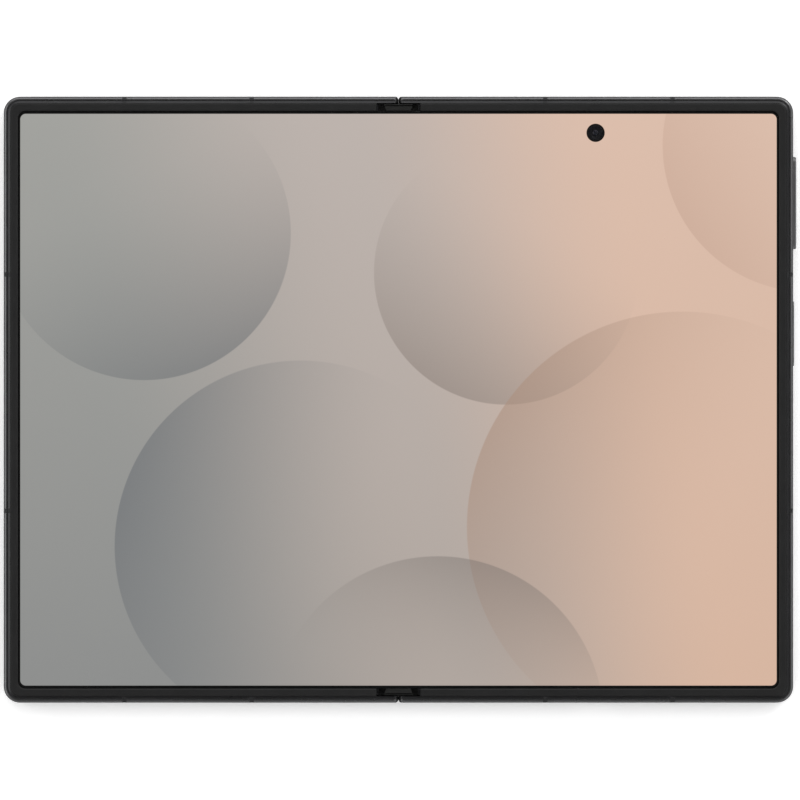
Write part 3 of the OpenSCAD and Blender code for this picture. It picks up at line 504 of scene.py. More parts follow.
def make_picture():
    """A plain generic picture for the screen: soft overlapping discs, grey to peach."""
    s, takes, gives = new_group(
        "screen_picture", [("Place", PLACE, (0, 0, 0))], [("Colour", COLOUR)])
    place = takes["Place"]
    x, y, _ = s.axes(place)
    half_width, half_height, slope = 62, 58, 0.22
    slant = s.math("ADD", x, s.math("MULTIPLY", y, slope))
    height = s.ramp_value(y, -half_height, half_height)
    grey = s.mix(height, colour(141, 142, 141), colour(161, 161, 157))
    peach = s.mix(height, colour(214, 181, 160), colour(219, 189, 171))
    rose = s.mix(height, colour(176, 166, 159), colour(188, 178, 172))
    left = s.ramp_value(slant, -half_width, 2, smooth=True)
    right = s.ramp_value(slant, 0, 58, smooth=True)
    tone = s.mix(right, s.mix(left, grey, rose), peach)
    discs = [
        # centre, radius, side that is darkest, reach of the shade, shade, depth
        ((-52, 34, 0), 30, (0.5, -1, 0), 44, (108, 112, 115), 0.62),
        ((-20, -30, 0), 38, (-1, 0.35, 0), 50, (96, 101, 107), 0.55),
        ((22, 26, 0), 27, (-0.6, -1, 0), 40, (140, 128, 121), 0.62),
        ((58, -26, 0), 44, (-1, 0.5, 0), 52, (170, 141, 123), 0.58),
        ((8, -66, 0), 34, (0.3, 1, 0), 30, (120, 113, 109), 0.5),
        ((84, 52, 0), 30, (-1, -0.6, 0), 34, (196, 164, 146), 0.55),
    ]
    for centre, radius, lean, reach, shade, depth in discs:
        patch = s.add("ShaderNodeGroup", node_tree=ROUND_PATCH)
        s.feed(patch.inputs["Place"], place)
        patch.inputs["Centre"].default_value = centre
        patch.inputs["Radius"].default_value = radius
        patch.inputs["Lean"].default_value = lean
        patch.inputs["Reach"].default_value = reach
        fade = s.math("POWER", patch.outputs["Fade"], 1.7)
        share = s.math("MULTIPLY", patch.outputs["Inside"], s.math("MULTIPLY", fade, depth))
        tone = s.mix(share, tone, colour(*shade))
    s.feed(gives["Colour"], tone)
    return s.tree


SCREEN_PICTURE = make_picture()


# ---------------- materials

def start_material(name):
    """An empty material: its sheet, its Principled BSDF's inputs and its Object place."""
    material = bpy.data.materials.new(name)
    material.use_nodes = True
    tree = material.node_tree
    tree.nodes.clear()
    sheet = Sheet(tree)
    shader = sheet.add("ShaderNodeBsdfPrincipled")
    out = sheet.add("ShaderNodeOutputMaterial")
    tree.links.new(shader.outputs[0], out.inputs["Surface"])
    place = sheet.add("ShaderNodeTexCoord").outputs["Object"]
    return material, sheet, shader.inputs, place


def use(sheet, group, **values):
    """Places an effect in a material, with its own values."""
    node = sheet.add("ShaderNodeGroup", node_tree=group)
    for key, value in values.items():
        sheet.feed(node.inputs[key.replace("_", " ")], value)
    return node.outputs


def blasted_metal(name, dark, light, rough_low, rough_high, metallic=1.0):
    """Metal blasted with beads and coloured: an even fine grain with faint clouds."""
    material, s, shader, place = start_material(name)
    grit = use(s, FINE_GRAIN, Place=place, Grain=0.09, Clouds=9.0)
    marks = use(s, HANDLING, Place=place, Smear=16.0, Amount=0.35)
    rough = s.ramp_value(grit["Cloud"], 0.3, 0.7, rough_low, rough_high)
    s.surface(shader, s.between(grit["Cloud"], dark, light),
              s.lowered(rough, marks["Mask"], 0.06), s.bump(grit["Height"], 0.35, 0.006),
              Metallic=metallic)
    return material


def rim_metal(dark, light, highlight_tone, darker_tone):
    """The rim's blasted metal, with a painted highlight along its upper outer edge and painted
    shade on the slope inside.
    """
    material, s, shader, place = start_material("rim_metal")
    grit = use(s, FINE_GRAIN, Place=place, Grain=0.09, Clouds=9.0)
    marks = use(s, HANDLING, Place=place, Smear=16.0, Amount=0.35)
    x, y, z = s.axes_mm(place)
    inward = s.math("SUBTRACT", RIM_CORNER, s.corner_reach(x, y, RIM_X, RIM_Y, RIM_CORNER))
    upper = s.ramp_value(z, RIM_TOP - 0.7, RIM_TOP - 0.4, smooth=True)
    # A band along the upper outer rounding is painted lighter: a painted highlight, its strength
    # varied a little by the grit's clouds.
    edge = s.math("MULTIPLY", s.ramp_value(inward, 0.14, 0.30, smooth=True),
                  s.ramp_value(inward, 0.62, 0.72, 1.0, 0.0, smooth=True))
    painted_highlight = s.math("MULTIPLY", s.math("MULTIPLY", edge, upper),
                  s.ramp_value(grit["Cloud"], 0.3, 0.7, 0.85, 1.0))
    # The slope inside the upper edge is painted darker: painted shade.
    slope = s.math("MULTIPLY", s.ramp_value(inward, 0.92, 0.98), upper)
    tone = s.mix(slope, s.between(grit["Cloud"], dark, light), darker_tone)
    rough = s.lowered(s.ramp_value(grit["Cloud"], 0.3, 0.7, 0.27, 0.32), marks["Mask"], 0.06)
    s.surface(shader, s.mix(painted_highlight, tone, highlight_tone), s.lowered(rough, painted_highlight, 0.03),
              s.bump(grit["Height"], 0.35, 0.006), Metallic=0.8)
    return material


def moulded_plastic(name, dark, light, rough_low, rough_high, gloss):
    """Moulded plastic with a fine spark-eroded skin."""
    material, s, shader, place = start_material(name)
    skin = use(s, FINE_GRAIN, Place=place, Grain=0.16, Clouds=5.0)
    marks = use(s, HANDLING, Place=place, Smear=8.0, Amount=0.8)
    rough = s.ramp_value(skin["Height"], 0.3, 0.7, rough_low, rough_high)
    s.surface(shader, s.between(skin["Cloud"], dark, light, high=0.68),
              s.lowered(rough, marks["Mask"], 0.08), s.bump(skin["Height"], 0.3, 0.01),
              Specular_IOR_Level=gloss)
    return material


def machined_steel(name, dark, light, stretch, rough, line=0.06):
    """Bare or plated metal with the lines of the tool that cut or rolled it."""
    material, s, shader, place = start_material(name)
    lines = use(s, BRUSHING, Place=place, Stretch=stretch, Line=line)
    s.surface(shader, s.between(lines["Streak"], dark, light),
              s.ramp_value(lines["Height"], 0.3, 0.7, rough - 0.07, rough + 0.09),
              s.bump(lines["Height"], 0.25, 0.004), Metallic=1.0)
    return material


def screen_film():
    """The folding screen: the lit picture inside a black border, under a soft clear film."""
    material, s, shader, _ = start_material("screen_film")
    picture_map = s.add("ShaderNodeUVMap", uv_map="picture").outputs[0]
    place = s.stretched(s.vector("SUBTRACT", picture_map, (0.5, 0.5, 0)),
                        (PICTURE_SPAN, PICTURE_SPAN, 0))
    x, y, _ = s.axes(place)
    reach = s.corner_reach(x, y, LIT_X, LIT_Y, LIT_CORNER)
    lit = s.ramp_value(reach, LIT_CORNER - 0.03, LIT_CORNER + 0.03, 1.0, 0.0)
    from_camera = s.vector("DISTANCE", place, (*INNER_CAMERA, 0))
    clear = s.ramp_value(from_camera, CAMERA_HOLE + 0.04, CAMERA_HOLE + 0.09)
    picture = use(s, SCREEN_PICTURE, Place=place)["Colour"]
    s.feed(shader["Emission Color"],
           s.mix(s.math("MULTIPLY", lit, clear), (0.0, 0.0, 0.0, 1.0), picture))
    film = s.stretched(place, (MM, MM, MM))
    grit = use(s, FINE_GRAIN, Place=film, Grain=0.5, Clouds=20.0)
    marks = use(s, HANDLING, Place=film, Smear=24.0, Amount=1.0)
    s.surface(shader,
              s.mix(marks["Mask"], (0.004, 0.004, 0.004, 1), (0.007, 0.007, 0.007, 1)),
              s.ramp_value(marks["Mask"], 0.0, 1.0, 0.10, 0.16),
              s.bump(grit["Cloud"], 0.02, 0.05), Emission_Strength=1.0, IOR=1.3)
    return material


def back_glass():
    """Frosted glass over a dark paint, with a faint silky depth."""
    material, s, shader, place = start_material("back_glass")
    grit = use(s, FINE_GRAIN, Place=place, Grain=0.12, Clouds=30.0)
    marks = use(s, HANDLING, Place=place, Smear=22.0, Amount=0.9)
    s.surface(shader, s.between(grit["Cloud"], colour(43, 44, 46), colour(50, 51, 53), 0.3, 0.7),
              s.ramp_value(marks["Mask"], 0, 1, 0.42, 0.30), s.bump(grit["Height"], 0.25, 0.004),
              Coat_Weight=0.25, Coat_Roughness=0.35)
    return material


def cover_glass():
    """Glossy black glass over the dark outer display, with the window of a camera."""
    display_x, half_width, half_height = -40.7, 36.4, 58.6
    material, s, shader, place = start_material("cover_glass")
    x, y, _ = s.axes_mm(place)
    marks = use(s, HANDLING, Place=place, Smear=26.0, Amount=1.0)
    from_camera = s.length(s.math("ADD", x, INNER_CAMERA[0]),
                           s.math("SUBTRACT", y, INNER_CAMERA[1]))
    window = s.ramp_value(from_camera, 1.75, 1.82, 1.0, 0.0)
    ring = s.math("MULTIPLY", s.ramp_value(from_camera, 1.75, 1.82),
                  s.ramp_value(from_camera, 2.0, 2.07, 1.0, 0.0))
    # The camera's lens under the opaque glass is painted as a dark bluish disc: the lens's own dark
    # colour, with its coating's blue as a painted reflection.
    lens = s.ramp_value(from_camera, 0.72, 0.78, 1.0, 0.0)
    over_x = s.math("SUBTRACT", s.math("ABSOLUTE", s.math("SUBTRACT", x, display_x)), half_width)
    over_y = s.math("SUBTRACT", s.math("ABSOLUTE", y), half_height)
    display = s.ramp_value(s.math("MAXIMUM", over_x, over_y), -0.1, 0.1, 1.0, 0.0)
    tone = (0.0035, 0.0035, 0.004, 1)
    for mask, shade in ((display, (0.0075, 0.0075, 0.0085, 1)), (ring, (0.02, 0.02, 0.022, 1)),
                        (window, (0.002, 0.002, 0.003, 1)), (lens, (0.006, 0.009, 0.02, 1))):
        tone = s.mix(mask, tone, shade)
    s.surface(shader, tone, s.ramp_value(marks["Mask"], 0, 1, 0.035, 0.12), IOR=1.5)
    return material


def lens_cover_glass():
    """Thin clear glass over a lens: what lies behind it shows through."""
    material, s, shader, place = start_material("lens_cover_glass")
    marks = use(s, HANDLING, Place=place, Smear=5.0, Amount=1.0)
    s.surface(shader, s.mix(marks["Mask"], (0.01, 0.01, 0.014, 1), (0.014, 0.014, 0.0196, 1)),
              s.ramp_value(marks["Mask"], 0, 1, 0.02, 0.07), Alpha=0.22, IOR=1.5)
    return material


def coated_lens():
    """A camera's front element, whose coating goes from violet to green."""
    material, s, shader, place = start_material("coated_lens")
    band = s.noise(place, 700.0, 1.0)
    s.surface(shader, s.between(band, (0.010, 0.006, 0.022, 1), (0.004, 0.014, 0.016, 1)),
              s.ramp_value(band, 0.3, 0.7, 0.03, 0.06), IOR=1.7, Coat_Weight=1.0,
              Coat_Roughness=0.02, Coat_Tint=(0.9, 0.85, 1.0, 1))
    return material


def flash_lens_plastic():
    """Clear plastic with ring-shaped steps over a pale yellow phosphor."""
    material, s, shader, place = start_material("flash_lens_plastic")
    x, y, _ = s.axes_mm(place)
    dx = s.math("SUBTRACT", x, REAR_X)
    dy = s.math("SUBTRACT", y, FLASH_Y)
    teeth = s.math("FRACT", s.math("MULTIPLY", s.length(dx, dy), 4.5))
    square = s.math("MAXIMUM", s.math("ABSOLUTE", dx), s.math("ABSOLUTE", dy))
    lamp = s.ramp_value(square, 0.62, 0.72, 1.0, 0.0)
    tone = s.mix(lamp, colour(214, 210, 198), colour(226, 205, 120))
    s.surface(shader, s.mix(s.math("MULTIPLY", teeth, 0.35), tone, colour(120, 117, 108)),
              s.ramp_value(teeth, 0, 1, 0.12, 0.26), s.bump(teeth, 0.6, 0.06),
              Coat_Weight=0.6, Coat_Roughness=0.04)
    return material


def circuit_board():
    """Solder mask with copper tracks, vias and pads under it."""
    material, s, shader, place = start_material("circuit_board")
    brick = s.add("ShaderNodeTexBrick", offset=0.37, squash=1.6, squash_frequency=3)
    s.feed(brick.inputs["Vector"], place)
    brick.inputs["Scale"].default_value = 420.0
    brick.inputs["Mortar Size"].default_value = 0.035
    cells = s.add("ShaderNodeTexVoronoi", feature="F1")
    s.feed(cells.inputs["Vector"], place)
    cells.inputs["Scale"].default_value = 650.0
    vias = s.ramp_value(cells.outputs["Distance"], 0.10, 0.16, 1.0, 0.0)
    tracks = s.math("SUBTRACT", 1.0, brick.outputs["Fac"])
    grit = use(s, FINE_GRAIN, Place=place, Grain=0.2, Clouds=7.0)
    mask = s.between(grit["Cloud"], colour(18, 62, 44), colour(24, 76, 52))
    tone = s.mix(s.math("MULTIPLY", tracks, 0.4), mask, colour(40, 104, 70))
    s.feed(shader["Metallic"], vias)
    s.surface(shader, s.mix(vias, tone, colour(196, 168, 96)),
              s.ramp_value(grit["Height"], 0.3, 0.7, 0.28, 0.42), s.bump(tracks, 0.3, 0.02))
    return material


def battery_wrap():
    """A foil pouch with shallow creases and a matt black wrap."""
    material, s, shader, place = start_material("battery_wrap")
    grit = use(s, FINE_GRAIN, Place=place, Grain=0.3, Clouds=12.0)
    folds = s.noise(s.stretched(place, (1.0, 0.35, 1.0)), 130.0, 4.0, 0.65)
    # The wrap is painted darker in the hollows of its folds and lighter on their crests: painted
    # shade and painted highlight.
    s.surface(shader, s.between(folds, colour(36, 37, 39), colour(52, 53, 56)),
              s.ramp_value(grit["Height"], 0.3, 0.7, 0.38, 0.55), s.bump(folds, 0.35, 0.15))
    return material


def wound_copper():
    """Enamelled copper wound in flat turns."""
    material, s, shader, place = start_material("wound_copper")
    low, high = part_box("charging_coil")
    x, y, _ = s.axes(s.vector("SUBTRACT", place, tuple((low + high) / 2)))
    turns = s.wave(s.length(x, y), 5200.0)
    streak = s.noise(place, 900.0)
    # Each turn is painted lighter on its crest and darker in the grooves between turns: painted
    # highlight and painted shade.
    tone = s.mix(turns, colour(92, 44, 22), colour(196, 112, 64))
    s.surface(shader,
              s.mix(s.ramp_value(streak, 0.4, 0.7, 0.0, 0.3), tone, colour(150, 74, 40)),
              s.ramp_value(turns, 0, 1, 0.45, 0.25), s.bump(turns, 0.5, 0.05), Metallic=0.9)
    return material


def sound_mesh():
    """Black plastic with a woven dust mesh on the side that faces the holes."""
    material, s, shader, place = start_material("sound_mesh")
    x, _, z = s.axes_mm(place)
    weave = s.math("MULTIPLY", s.wave(x, 21.0), s.wave(z, 21.0))
    grit = use(s, FINE_GRAIN, Place=place, Grain=0.2, Clouds=6.0)
    tone = s.mix(weave, colour(58, 58, 60), colour(12, 12, 13))
    s.surface(shader,
              s.mix(s.ramp_value(grit["Cloud"], 0.4, 0.7, 0, 0.3), tone, colour(30, 30, 31)),
              s.ramp_value(grit["Height"], 0.3, 0.7, 0.4, 0.6), s.bump(weave, 0.5, 0.04))
    return material


def flex_film():
    """Amber film with fine copper tracks that run across the fold."""
    material, s, shader, place = start_material("flex_film")
    _, y, _ = s.axes_mm(place)
    tracks = s.ramp_value(s.wave(y, 7.5), 0.5, 0.62)
    grit = use(s, FINE_GRAIN, Place=place, Grain=0.2, Clouds=4.0)
    tone = s.mix(tracks, colour(122, 66, 22), colour(168, 98, 40))
    s.surface(shader,
              s.mix(s.ramp_value(grit["Cloud"], 0.4, 0.7, 0, 0.25), tone, colour(96, 50, 18)),
              s.ramp_value(tracks, 0, 1, 0.38, 0.26), s.bump(tracks, 0.3, 0.03))
    return material


def make_materials():
    """Every finish of the phone, by the name that the pieces below use."""
    return {
        # The rim's third colour is a painted highlight for its upper outer edge, and its fourth is
        # painted shade for the slope inside.
        "rim": rim_metal(colour(66, 66, 67), colour(72, 72, 73), colour(92, 92, 93),
                         colour(54, 54, 55)),
        # The keys' metal is painted lighter than the rim's, to stand for the light on their rounded
        # faces: a painted highlight.
        "key": blasted_metal("key_metal", colour(104, 104, 105), colour(112, 112, 113),
                             0.32, 0.4, metallic=0.4),
        "camera_metal": blasted_metal("camera_metal", colour(52, 52, 54), colour(58, 58, 60),
                                      0.40, 0.48),
        "ring": machined_steel("ring_metal", colour(112, 112, 114), colour(132, 132, 134),
                               (1, 1, 6), 0.22, 0.08),
        "spine": machined_steel("spine_metal", colour(62, 62, 64), colour(72, 72, 74),
                                (6, 0.05, 6), 0.26, 0.07),
        "steel": machined_steel("hinge_steel", colour(150, 150, 152), colour(176, 176, 178),
                                (1, 0.1, 1), 0.3),
        "gear": machined_steel("gear_steel", colour(140, 134, 120), colour(165, 158, 142),
                               (1, 0.3, 1), 0.32),
        "shield": machined_steel("shield_metal", colour(160, 160, 160), colour(184, 184, 184),
                                 (0.1, 1, 1), 0.34),
        "magnet": machined_steel("magnet_metal", colour(120, 122, 126), colour(150, 152, 156),
                                 (1, 0.2, 1), 0.2),
        "contact": machined_steel("gold_contact", colour(196, 158, 84), colour(222, 186, 110),
                                  (1, 0.15, 1), 0.24),
        "bezel": moulded_plastic("bezel_plastic", colour(27, 27, 27), colour(31, 31, 31),
                                 0.5, 0.6, gloss=0.25),
        "cap": moulded_plastic("cap_plastic", colour(26, 26, 25), colour(30, 30, 29),
                               0.44, 0.58, gloss=0.25),
        "band": moulded_plastic("band_plastic", colour(38, 38, 39), colour(44, 44, 45),
                                0.5, 0.6, gloss=0.25),
        "camera_body": moulded_plastic("camera_body", colour(10, 10, 11), colour(15, 15, 16),
                                       0.4, 0.55, gloss=0.3),
        "screen": screen_film(),
        "back": back_glass(),
        "cover": cover_glass(),
        "lens_cover": lens_cover_glass(),
        "lens": coated_lens(),
        "flash": flash_lens_plastic(),
        "board": circuit_board(),
        "battery": battery_wrap(),
        "copper": wound_copper(),
        "sound": sound_mesh(),
        "flex": flex_film(),
    }


FINISH = make_materials()

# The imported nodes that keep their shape, by the finish that they take
CARRIED = {
    "rim": ("right_frame", "left_frame", "card_tray"),
    "band": ("right_antenna_bands", "left_antenna_bands"),
    "bezel": ("right_bezel", "left_bezel"),
    "back": ("rear_glass",),
    "camera_metal": ("camera_plateau",),
    "ring": ("lens_rings",),
    "flash": ("flash_lens",),
    "cover": ("cover_glass", "cover_display"),
    "camera_body": ("cover_camera",),
    "board": ("main_board", "usb_board", "sub_board"),
    "shield": ("board_shields", "usb_connector", "card_reader", "haptic_motor"),
    "battery": ("main_battery", "second_battery"),
    "copper": ("charging_coil",),
    "sound": ("bottom_speaker", "earpiece_speaker"),
    "flex": ("key_switches", "hinge_flex_right", "hinge_flex_spine", "hinge_flex_left"),
    "magnet": ("right_magnets", "left_magnets"),
    "steel": ("hinge_arm_right", "hinge_arm_left", "hinge_shaft_right", "hinge_shaft_left",
              "arm_screws_right", "arm_screws_left", "hinge_base", "torque_springs"),
    "gear": ("sync_gear_right", "sync_gear_left", "idler_gear_right", "idler_gear_left",
             "detent_cams"),
    "spine": ("spine_cover",),
    "cap": ("hinge_caps",),
}


def dress_carried_nodes():
    """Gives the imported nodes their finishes."""
    for finish, names in CARRIED.items():
        for name in names:
            for place in nodes[name].material_slots:
                place.material = FINISH[finish]


def dress(piece, finish):
    """Gives a new piece its finish."""
    piece.data.materials.clear()
    piece.data.materials.append(FINISH[finish])


def settle(piece, finish, body, smooth_angle=35):
    """Closes and dresses a new piece, and makes it ride on a body."""
    done(piece, smooth_angle)
    dress(piece, finish)
    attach(piece, body)


# ---------------- the folding screen

def round_screen_corners(piece):
    """Rounds the two upright outer corners, and softens the top edge of the film."""
    def corner(a, b):
        return (abs(a.z - b.z) > 0.1 and abs(a.x) > SCREEN_X - 0.1
                and abs(a.y) > SCREEN_Y - 0.1)
    pick_edges(piece, corner)
    bevel_picked(SCREEN_CORNER, 10)

    def outer_top(a, b):
        def outer(p):
            return abs(p.x) > SCREEN_X - SCREEN_CORNER - 0.1 or abs(p.y) > SCREEN_Y - 0.01
        return min(a.z, b.z) > SCREEN_TOP - 0.01 and outer(a) and outer(b) \
            and outer((a + b) / 2)
    pick_edges(piece, outer_top)
    bevel_picked(0.06, 2)


def build_screen():
    """Two flat sheets, and between them the stretch over the hinge, cut into narrow strips."""
    right = add_block("screen_right", (BEND_X, -SCREEN_Y, SCREEN_LOW),
                      (SCREEN_X, SCREEN_Y, SCREEN_TOP))
    left = add_block("screen_left", (-SCREEN_X, -SCREEN_Y, SCREEN_LOW),
                     (-BEND_X, SCREEN_Y, SCREEN_TOP))
    for sheet in (right, left):
        round_screen_corners(sheet)
    below, above = SCREEN_LOW - 1, SCREEN_TOP + 1
    hole = turn("hole", INNER_CAMERA,
                [(0, below), (CAMERA_HOLE, below), (CAMERA_HOLE, above), (0, above)], 72)
    done(hole)
    cut_with(right, hole)

    strips = 22
    steps = [BEND_X * i / strips for i in range(1, strips)]
    bend_right = add_block("screen_bend_right", (0, -SCREEN_Y, SCREEN_LOW),
                           (BEND_X, SCREEN_Y, SCREEN_TOP))
    slice_across(bend_right, 0, steps)
    bend_left = add_block("screen_bend_left", (-BEND_X, -SCREEN_Y, SCREEN_LOW),
                          (0, SCREEN_Y, SCREEN_TOP))
    slice_across(bend_left, 0, [-step for step in steps])

    for piece, slot in ((right, "screen_right_glass"), (left, "screen_left_glass"),
                        (bend_right, "screen_fold_glass"), (bend_left, "screen_fold_glass")):
        done(piece, 30)
        fit_picture_map(piece)
        dress(piece, "screen")
    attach(right, "right_half")
    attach(left, "left_half")
    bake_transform(bend_right)
    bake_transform(bend_left)
    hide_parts("inner_screen_right")
    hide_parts("inner_screen_left")
    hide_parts("inner_screen_fold")


# ---------------- ends of the hinge

def build_hinge_caps():
    """The two end caps: a round base, a tapered cap with a groove, and a fin in the seam."""
    (_, _, base_low), (base_x, outer, _) = box_mm("hinge_caps")
    base_round, base_top = 2.45, 4.95
    inner, inner_x, outer_x, cap_low = 59.04, 2.5, 2.95, 4.9
    groove_near, groove_far, groove_wall, groove_depth = 60.02, 60.2, 0.04, 0.5
    fin_x, fin_near, fin_far, fin_low, fin_top = 0.056, outer - 0.3, 61.45, 2.9, 4.9
    touch = 0.01
    caps = []
    for side in (1, -1):
        low_y, high_y = sorted((side * inner, side * outer))
        base = add_block("base", (-base_x, low_y, base_low), (base_x, high_y, base_top))
        pick_edges(base, lambda a, b: max(a.z, b.z) < base_low + 0.05 and abs(a.y - b.y) > 1)
        bevel_picked(base_round, 16)
        cap = add_block("cap", (-outer_x, low_y, cap_low), (outer_x, high_y, SCREEN_TOP))
        pick_edges(cap, lambda a, b: max(abs(a.y - side * inner), abs(b.y - side * inner)) < touch)
        bpy.ops.transform.resize(value=(inner_x / outer_x, 1, 1), center_override=(0, 0, 0))
        bpy.ops.object.mode_set(mode="OBJECT")
        pick_edges(cap, lambda a, b: min(a.z, b.z) > SCREEN_TOP - touch)
        bevel_picked(0.12, 4)
        slice_across(cap, 1, [side * y for y in (groove_near - groove_wall, groove_near,
                                                 groove_far, groove_far + groove_wall)])
        pick_edges(cap, lambda a, b: min(a.z, b.z) > SCREEN_TOP - 0.2
                   and min(abs(a.y), abs(b.y)) > groove_near - touch
                   and max(abs(a.y), abs(b.y)) < groove_far + touch)
        bpy.ops.transform.translate(value=(0, 0, -groove_depth * MM))
        bpy.ops.object.mode_set(mode="OBJECT")
        near_y, far_y = sorted((side * fin_near, side * fin_far))
        fin = add_block("fin", (-fin_x, near_y, fin_low), (fin_x, far_y, fin_top))
        pick_edges(fin, lambda a, b: min(abs(a.y), abs(b.y)) > fin_far - 0.05
                   and abs(a.z - b.z) > 1)
        bevel_picked(0.03, 2)
        caps += [base, cap, fin]
    ends = join(caps, "hinge_end_caps")
    settle(ends, "cap", "spine")
    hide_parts("hinge_caps")


# ---------------- cameras

def build_inner_camera():
    """The camera under the screen's hole: a stepped black barrel, a domed lens and a window."""
    low, high = box_mm("inner_camera")
    body = add_block("inner_camera_unit", low, (high[0], high[1], 5.0))
    pick_edges(body, lambda a, b: abs(a.z - b.z) > 1)
    bevel_picked(0.4, 3)
    barrel = turn("barrel", INNER_CAMERA,
                  [(0, 4.9), (1.74, 4.9), (1.74, 5.88), (1.66, 5.94), (1.5, 5.94), (1.44, 5.82),
                   (1.05, 5.82), (1.0, 5.79), (0.66, 5.79), (0.6, 5.74), (0.6, 5.5), (0, 5.5)])
    unit = join([body, barrel], "inner_camera_unit")
    settle(unit, "camera_body", "right_half")
    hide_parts("inner_camera")
    dome = turn("inner_camera_lens", INNER_CAMERA,
                [(0, 5.5), (0.59, 5.5), (0.59, 5.62), (0.52, 5.665), (0.42, 5.705),
                 (0.3, 5.737), (0.16, 5.757), (0, 5.763)])
    settle(dome, "lens", "right_half")
    window = turn("inner_camera_window", INNER_CAMERA,
                  [(0, 5.86), (1.46, 5.86), (1.46, 5.92), (1.4, 5.935), (0, 5.935)])
    settle(window, "lens_cover", "right_half")


def build_rear_camera(name, replaced, lens_y, barrel, aperture):
    """A rear camera: its body, a funnel of dark steps, and the front element in it."""
    half, body_low, body_top = 5.8, 3.3, 5.0
    mouth, shoulder, foot = 0.85, 2.0, 3.4
    steps, step_depth, bottom = 4, 0.22, 0.5
    body = add_block(name, (REAR_X - half, lens_y - half, body_low),
                     (REAR_X + half, lens_y + half, body_top))
    pick_edges(body, lambda a, b: abs(a.z - b.z) > 1)
    bevel_picked(0.6, 3)
    radius, depth = barrel - 0.4, mouth
    funnel = [(0, foot), (half - 0.1, foot), (half - 0.1, shoulder), (barrel, shoulder),
              (barrel, mouth + 0.03), (barrel - 0.12, mouth), (radius, mouth)]
    fall = (radius - aperture) / steps
    for _ in range(steps):
        depth += step_depth
        funnel.append((radius, depth))
        radius -= fall
        funnel.append((radius, depth))
    funnel += [(aperture, depth + bottom), (0, depth + bottom)]
    shell = turn("funnel", (REAR_X, lens_y), funnel, 72)
    unit = join([body, shell], name)
    settle(unit, "camera_body", "right_half")
    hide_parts(replaced)

    rim, lens_radius = depth + 0.12, aperture - 0.02
    dome = [(0.94, 0), (0.78, 0.17), (0.56, 0.32), (0.3, 0.42), (0, 0.46)]
    lens = turn(name + "_lens", (REAR_X, lens_y),
                [(0, rim + 0.5), (lens_radius, rim + 0.5), (lens_radius, rim + 0.05)]
                + [(aperture * share, rim - rise) for share, rise in dome], 48)
    settle(lens, "lens", "right_half", 50)


def build_lens_covers():
    """The flat clear glass in each lens ring, with a bevelled edge."""
    profile = [(0, 0.8), (5.12, 0.8), (5.15, 0.77), (5.15, 0.40), (5.05, 0.30), (0, 0.30)]
    for label, y in (("upper", UPPER_LENS_Y), ("lower", LOWER_LENS_Y)):
        cover = turn("lens_cover_" + label, (REAR_X, y), profile, 72)
        settle(cover, "lens_cover", "right_half")
        if label == "upper":
            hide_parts("lens_glasses")


# ---------------- keys

def add_bar(name, x_ends, y, length, segments):
    """A bar of a key's width along the phone's side, with round ends."""
    half_width = KEY_WIDTH / 2
    bar = add_block(name, (x_ends[0], y - length / 2, KEY_Z - half_width),
                    (x_ends[1], y + length / 2, KEY_Z + half_width))
    pick_edges(bar, lambda a, b: abs(a.x - b.x) > 0.2)
    bevel_picked(half_width - 0.02, segments)
    return bar


def build_keys():
    """Each side key: its cap with a rounded edge, its flange inside the rim, and any pin."""
    flange_thickness, flange_spare = 0.4, 0.8
    for node, (body, length, cap_x, flange_x, edge) in KEYS.items():
        (pin_x, _, pin_low), (outer, _, pin_high) = box_mm(node)
        y = middle_mm(node)[1]
        cap = add_bar(node + "_cap", (cap_x, outer), y, length, 10)
        pick_edges(cap, lambda a, b: min(a.x, b.x) > outer - 0.01)
        bevel_picked(edge, 4)
        flange = add_bar("flange", (flange_x, flange_x + flange_thickness), y,
                         length + flange_spare, 8)
        parts = [cap, flange]
        if node == "volume_key":
            end, slope = KEY_PIN - 0.05, 0.05
            profile = [(0, pin_low), (end, pin_low), (KEY_PIN, pin_low + slope),
                       (KEY_PIN, pin_high - slope), (end, pin_high), (0, pin_high)]
            parts.append(turn("pin", (pin_x + KEY_PIN, y), profile, 24))
        key = join(parts, node + "_cap")
        settle(key, "key", body)
        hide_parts(node)


# ---------------- the connector's contacts

def build_contacts():
    """Twelve gold contacts on each face of the connector's tongue."""
    count, pitch, width, thickness, faces_apart = 12, 0.5, 0.25, 0.04, 0.68
    first_x, front, back, upper = CONNECTOR_X - 2.85, -60.3, -57.2, 4.17
    first = add_block("contact", (first_x, front, upper),
                      (first_x + width, back, upper + thickness))
    pick_edges(first, lambda a, b: min(a.z, b.z) > upper + thickness - 0.01)
    bevel_picked(0.015, 2)
    strips = [first] + [copy_piece(first, "contact", (i * pitch, 0, 0)) for i in range(1, count)]
    strips += [copy_piece(strip, "contact", (0, 0, -faces_apart)) for strip in strips]
    contacts = join(strips, "connector_contacts")
    settle(contacts, "contact", "right_half")


# ---------------- floor, lamps and camera

def add_stage_sheet(name, size, place):
    """A level square of the stage, in metres."""
    deselect_all()
    bpy.ops.mesh.primitive_plane_add(size=size, location=place)
    sheet = name_new_piece(name)
    bpy.ops.object.transform_apply()
    return sheet


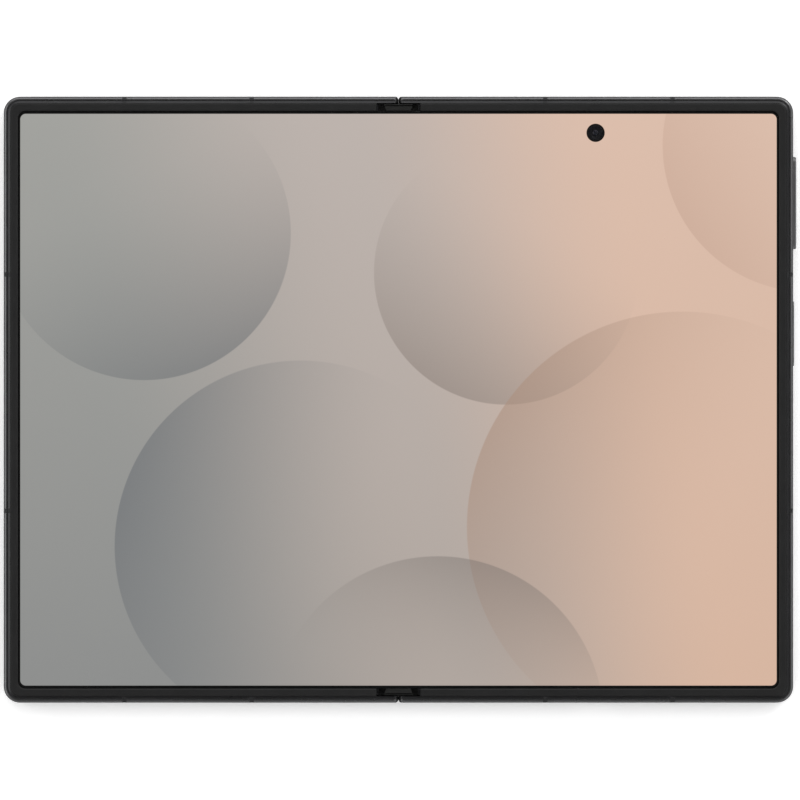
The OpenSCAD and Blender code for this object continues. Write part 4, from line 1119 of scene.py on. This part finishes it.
def build_floor():
    """A pale floor that keeps the shadow, and looks white to the camera further from the phone."""
    floor = add_stage_sheet("floor", FLOOR_SIZE, (0, 0, FLOOR_Z))
    material = bpy.data.materials.new("pale_floor")
    material.use_nodes = True
    material.node_tree.nodes.clear()
    s = Sheet(material.node_tree)
    rays, seen = s.seen_rays()
    open_sky = s.add("ShaderNodeAmbientOcclusion", samples=8, only_local=False)
    open_sky.inputs["Distance"].default_value = 4 * MM
    in_the_open = s.math("MULTIPLY", rays["Is Camera Ray"], open_sky.outputs["AO"])
    lift = s.wire("ShaderNodeEmission", (1, 1, 1, 1), s.math("MULTIPLY", in_the_open, 0.55))
    darker_tone = s.wire("ShaderNodeBsdfDiffuse", (0.8, 0.8, 0.8, 1))
    bright = s.wire("ShaderNodeBsdfDiffuse", (1, 1, 1, 1))
    lifted = s.wire("ShaderNodeAddShader", bright, lift)
    s.wire("ShaderNodeOutputMaterial", s.wire("ShaderNodeMixShader", seen, darker_tone, lifted))
    floor.data.materials.append(material)


def build_surround():
    """A white surround, which lights the phone less than it shows behind it and in its gloss."""
    world = bpy.data.worlds.new("studio")
    bpy.context.scene.world = world
    world.use_nodes = True
    world.node_tree.nodes.clear()
    s = Sheet(world.node_tree)
    _, seen = s.seen_rays()
    white = s.wire("ShaderNodeBackground", (1, 1, 1, 1), s.ramp_value(seen, 0, 1, 0.6, 1.0))
    s.wire("ShaderNodeOutputWorld", white)


def hang_ceiling():
    """A dark sheet over the phone, so that the glossy black parts stay black from above."""
    ceiling = add_stage_sheet("ceiling", CEILING_SIZE, CEILING_PLACE)
    material = bpy.data.materials.new("dark_ceiling")
    material.use_nodes = True
    shader = material.node_tree.nodes["Principled BSDF"].inputs
    shader["Base Color"].default_value = (0.3, 0.3, 0.3, 1)
    shader["Roughness"].default_value = 0.9
    ceiling.data.materials.append(material)
    ceiling.visible_camera = False


def build_lamps():
    """Soft lamps round the phone, which all look at its middle."""
    for name, (place, width, height, power) in LAMPS.items():
        deselect_all()
        bpy.ops.object.light_add(type="AREA", location=place)
        lamp = name_new_piece(name)
        lamp.data.shape = "RECTANGLE"
        lamp.data.size = width
        lamp.data.size_y = height
        lamp.data.energy = power
        lamp.rotation_euler = (-Vector(place)).to_track_quat("-Z", "Y").to_euler()


def build_camera():
    """The camera straight above the phone, as in the photograph."""
    deselect_all()
    bpy.ops.object.camera_add(location=CAMERA_PLACE, rotation=(0, 0, 0))
    camera = name_new_piece("camera")
    camera.data.sensor_fit = "AUTO"
    camera.data.sensor_width = SENSOR_WIDTH
    camera.data.lens = SENSOR_WIDTH * (CAMERA_PLACE[2] - RIM_TOP * MM) / VIEW_WIDTH
    camera.data.clip_start = 0.01
    camera.data.clip_end = 20
    bpy.context.scene.camera = camera
    bpy.context.scene.view_settings.view_transform = "Standard"


dress_carried_nodes()
build_screen()
build_hinge_caps()
build_inner_camera()
build_rear_camera("main_camera_unit", "main_camera_module", UPPER_LENS_Y, 4.6, 2.5)
build_rear_camera("wide_camera_unit", "wide_camera_module", LOWER_LENS_Y, 4.0, 1.9)
build_lens_covers()
build_keys()
build_contacts()
build_floor()
build_surround()
hang_ceiling()
build_lamps()
build_camera()
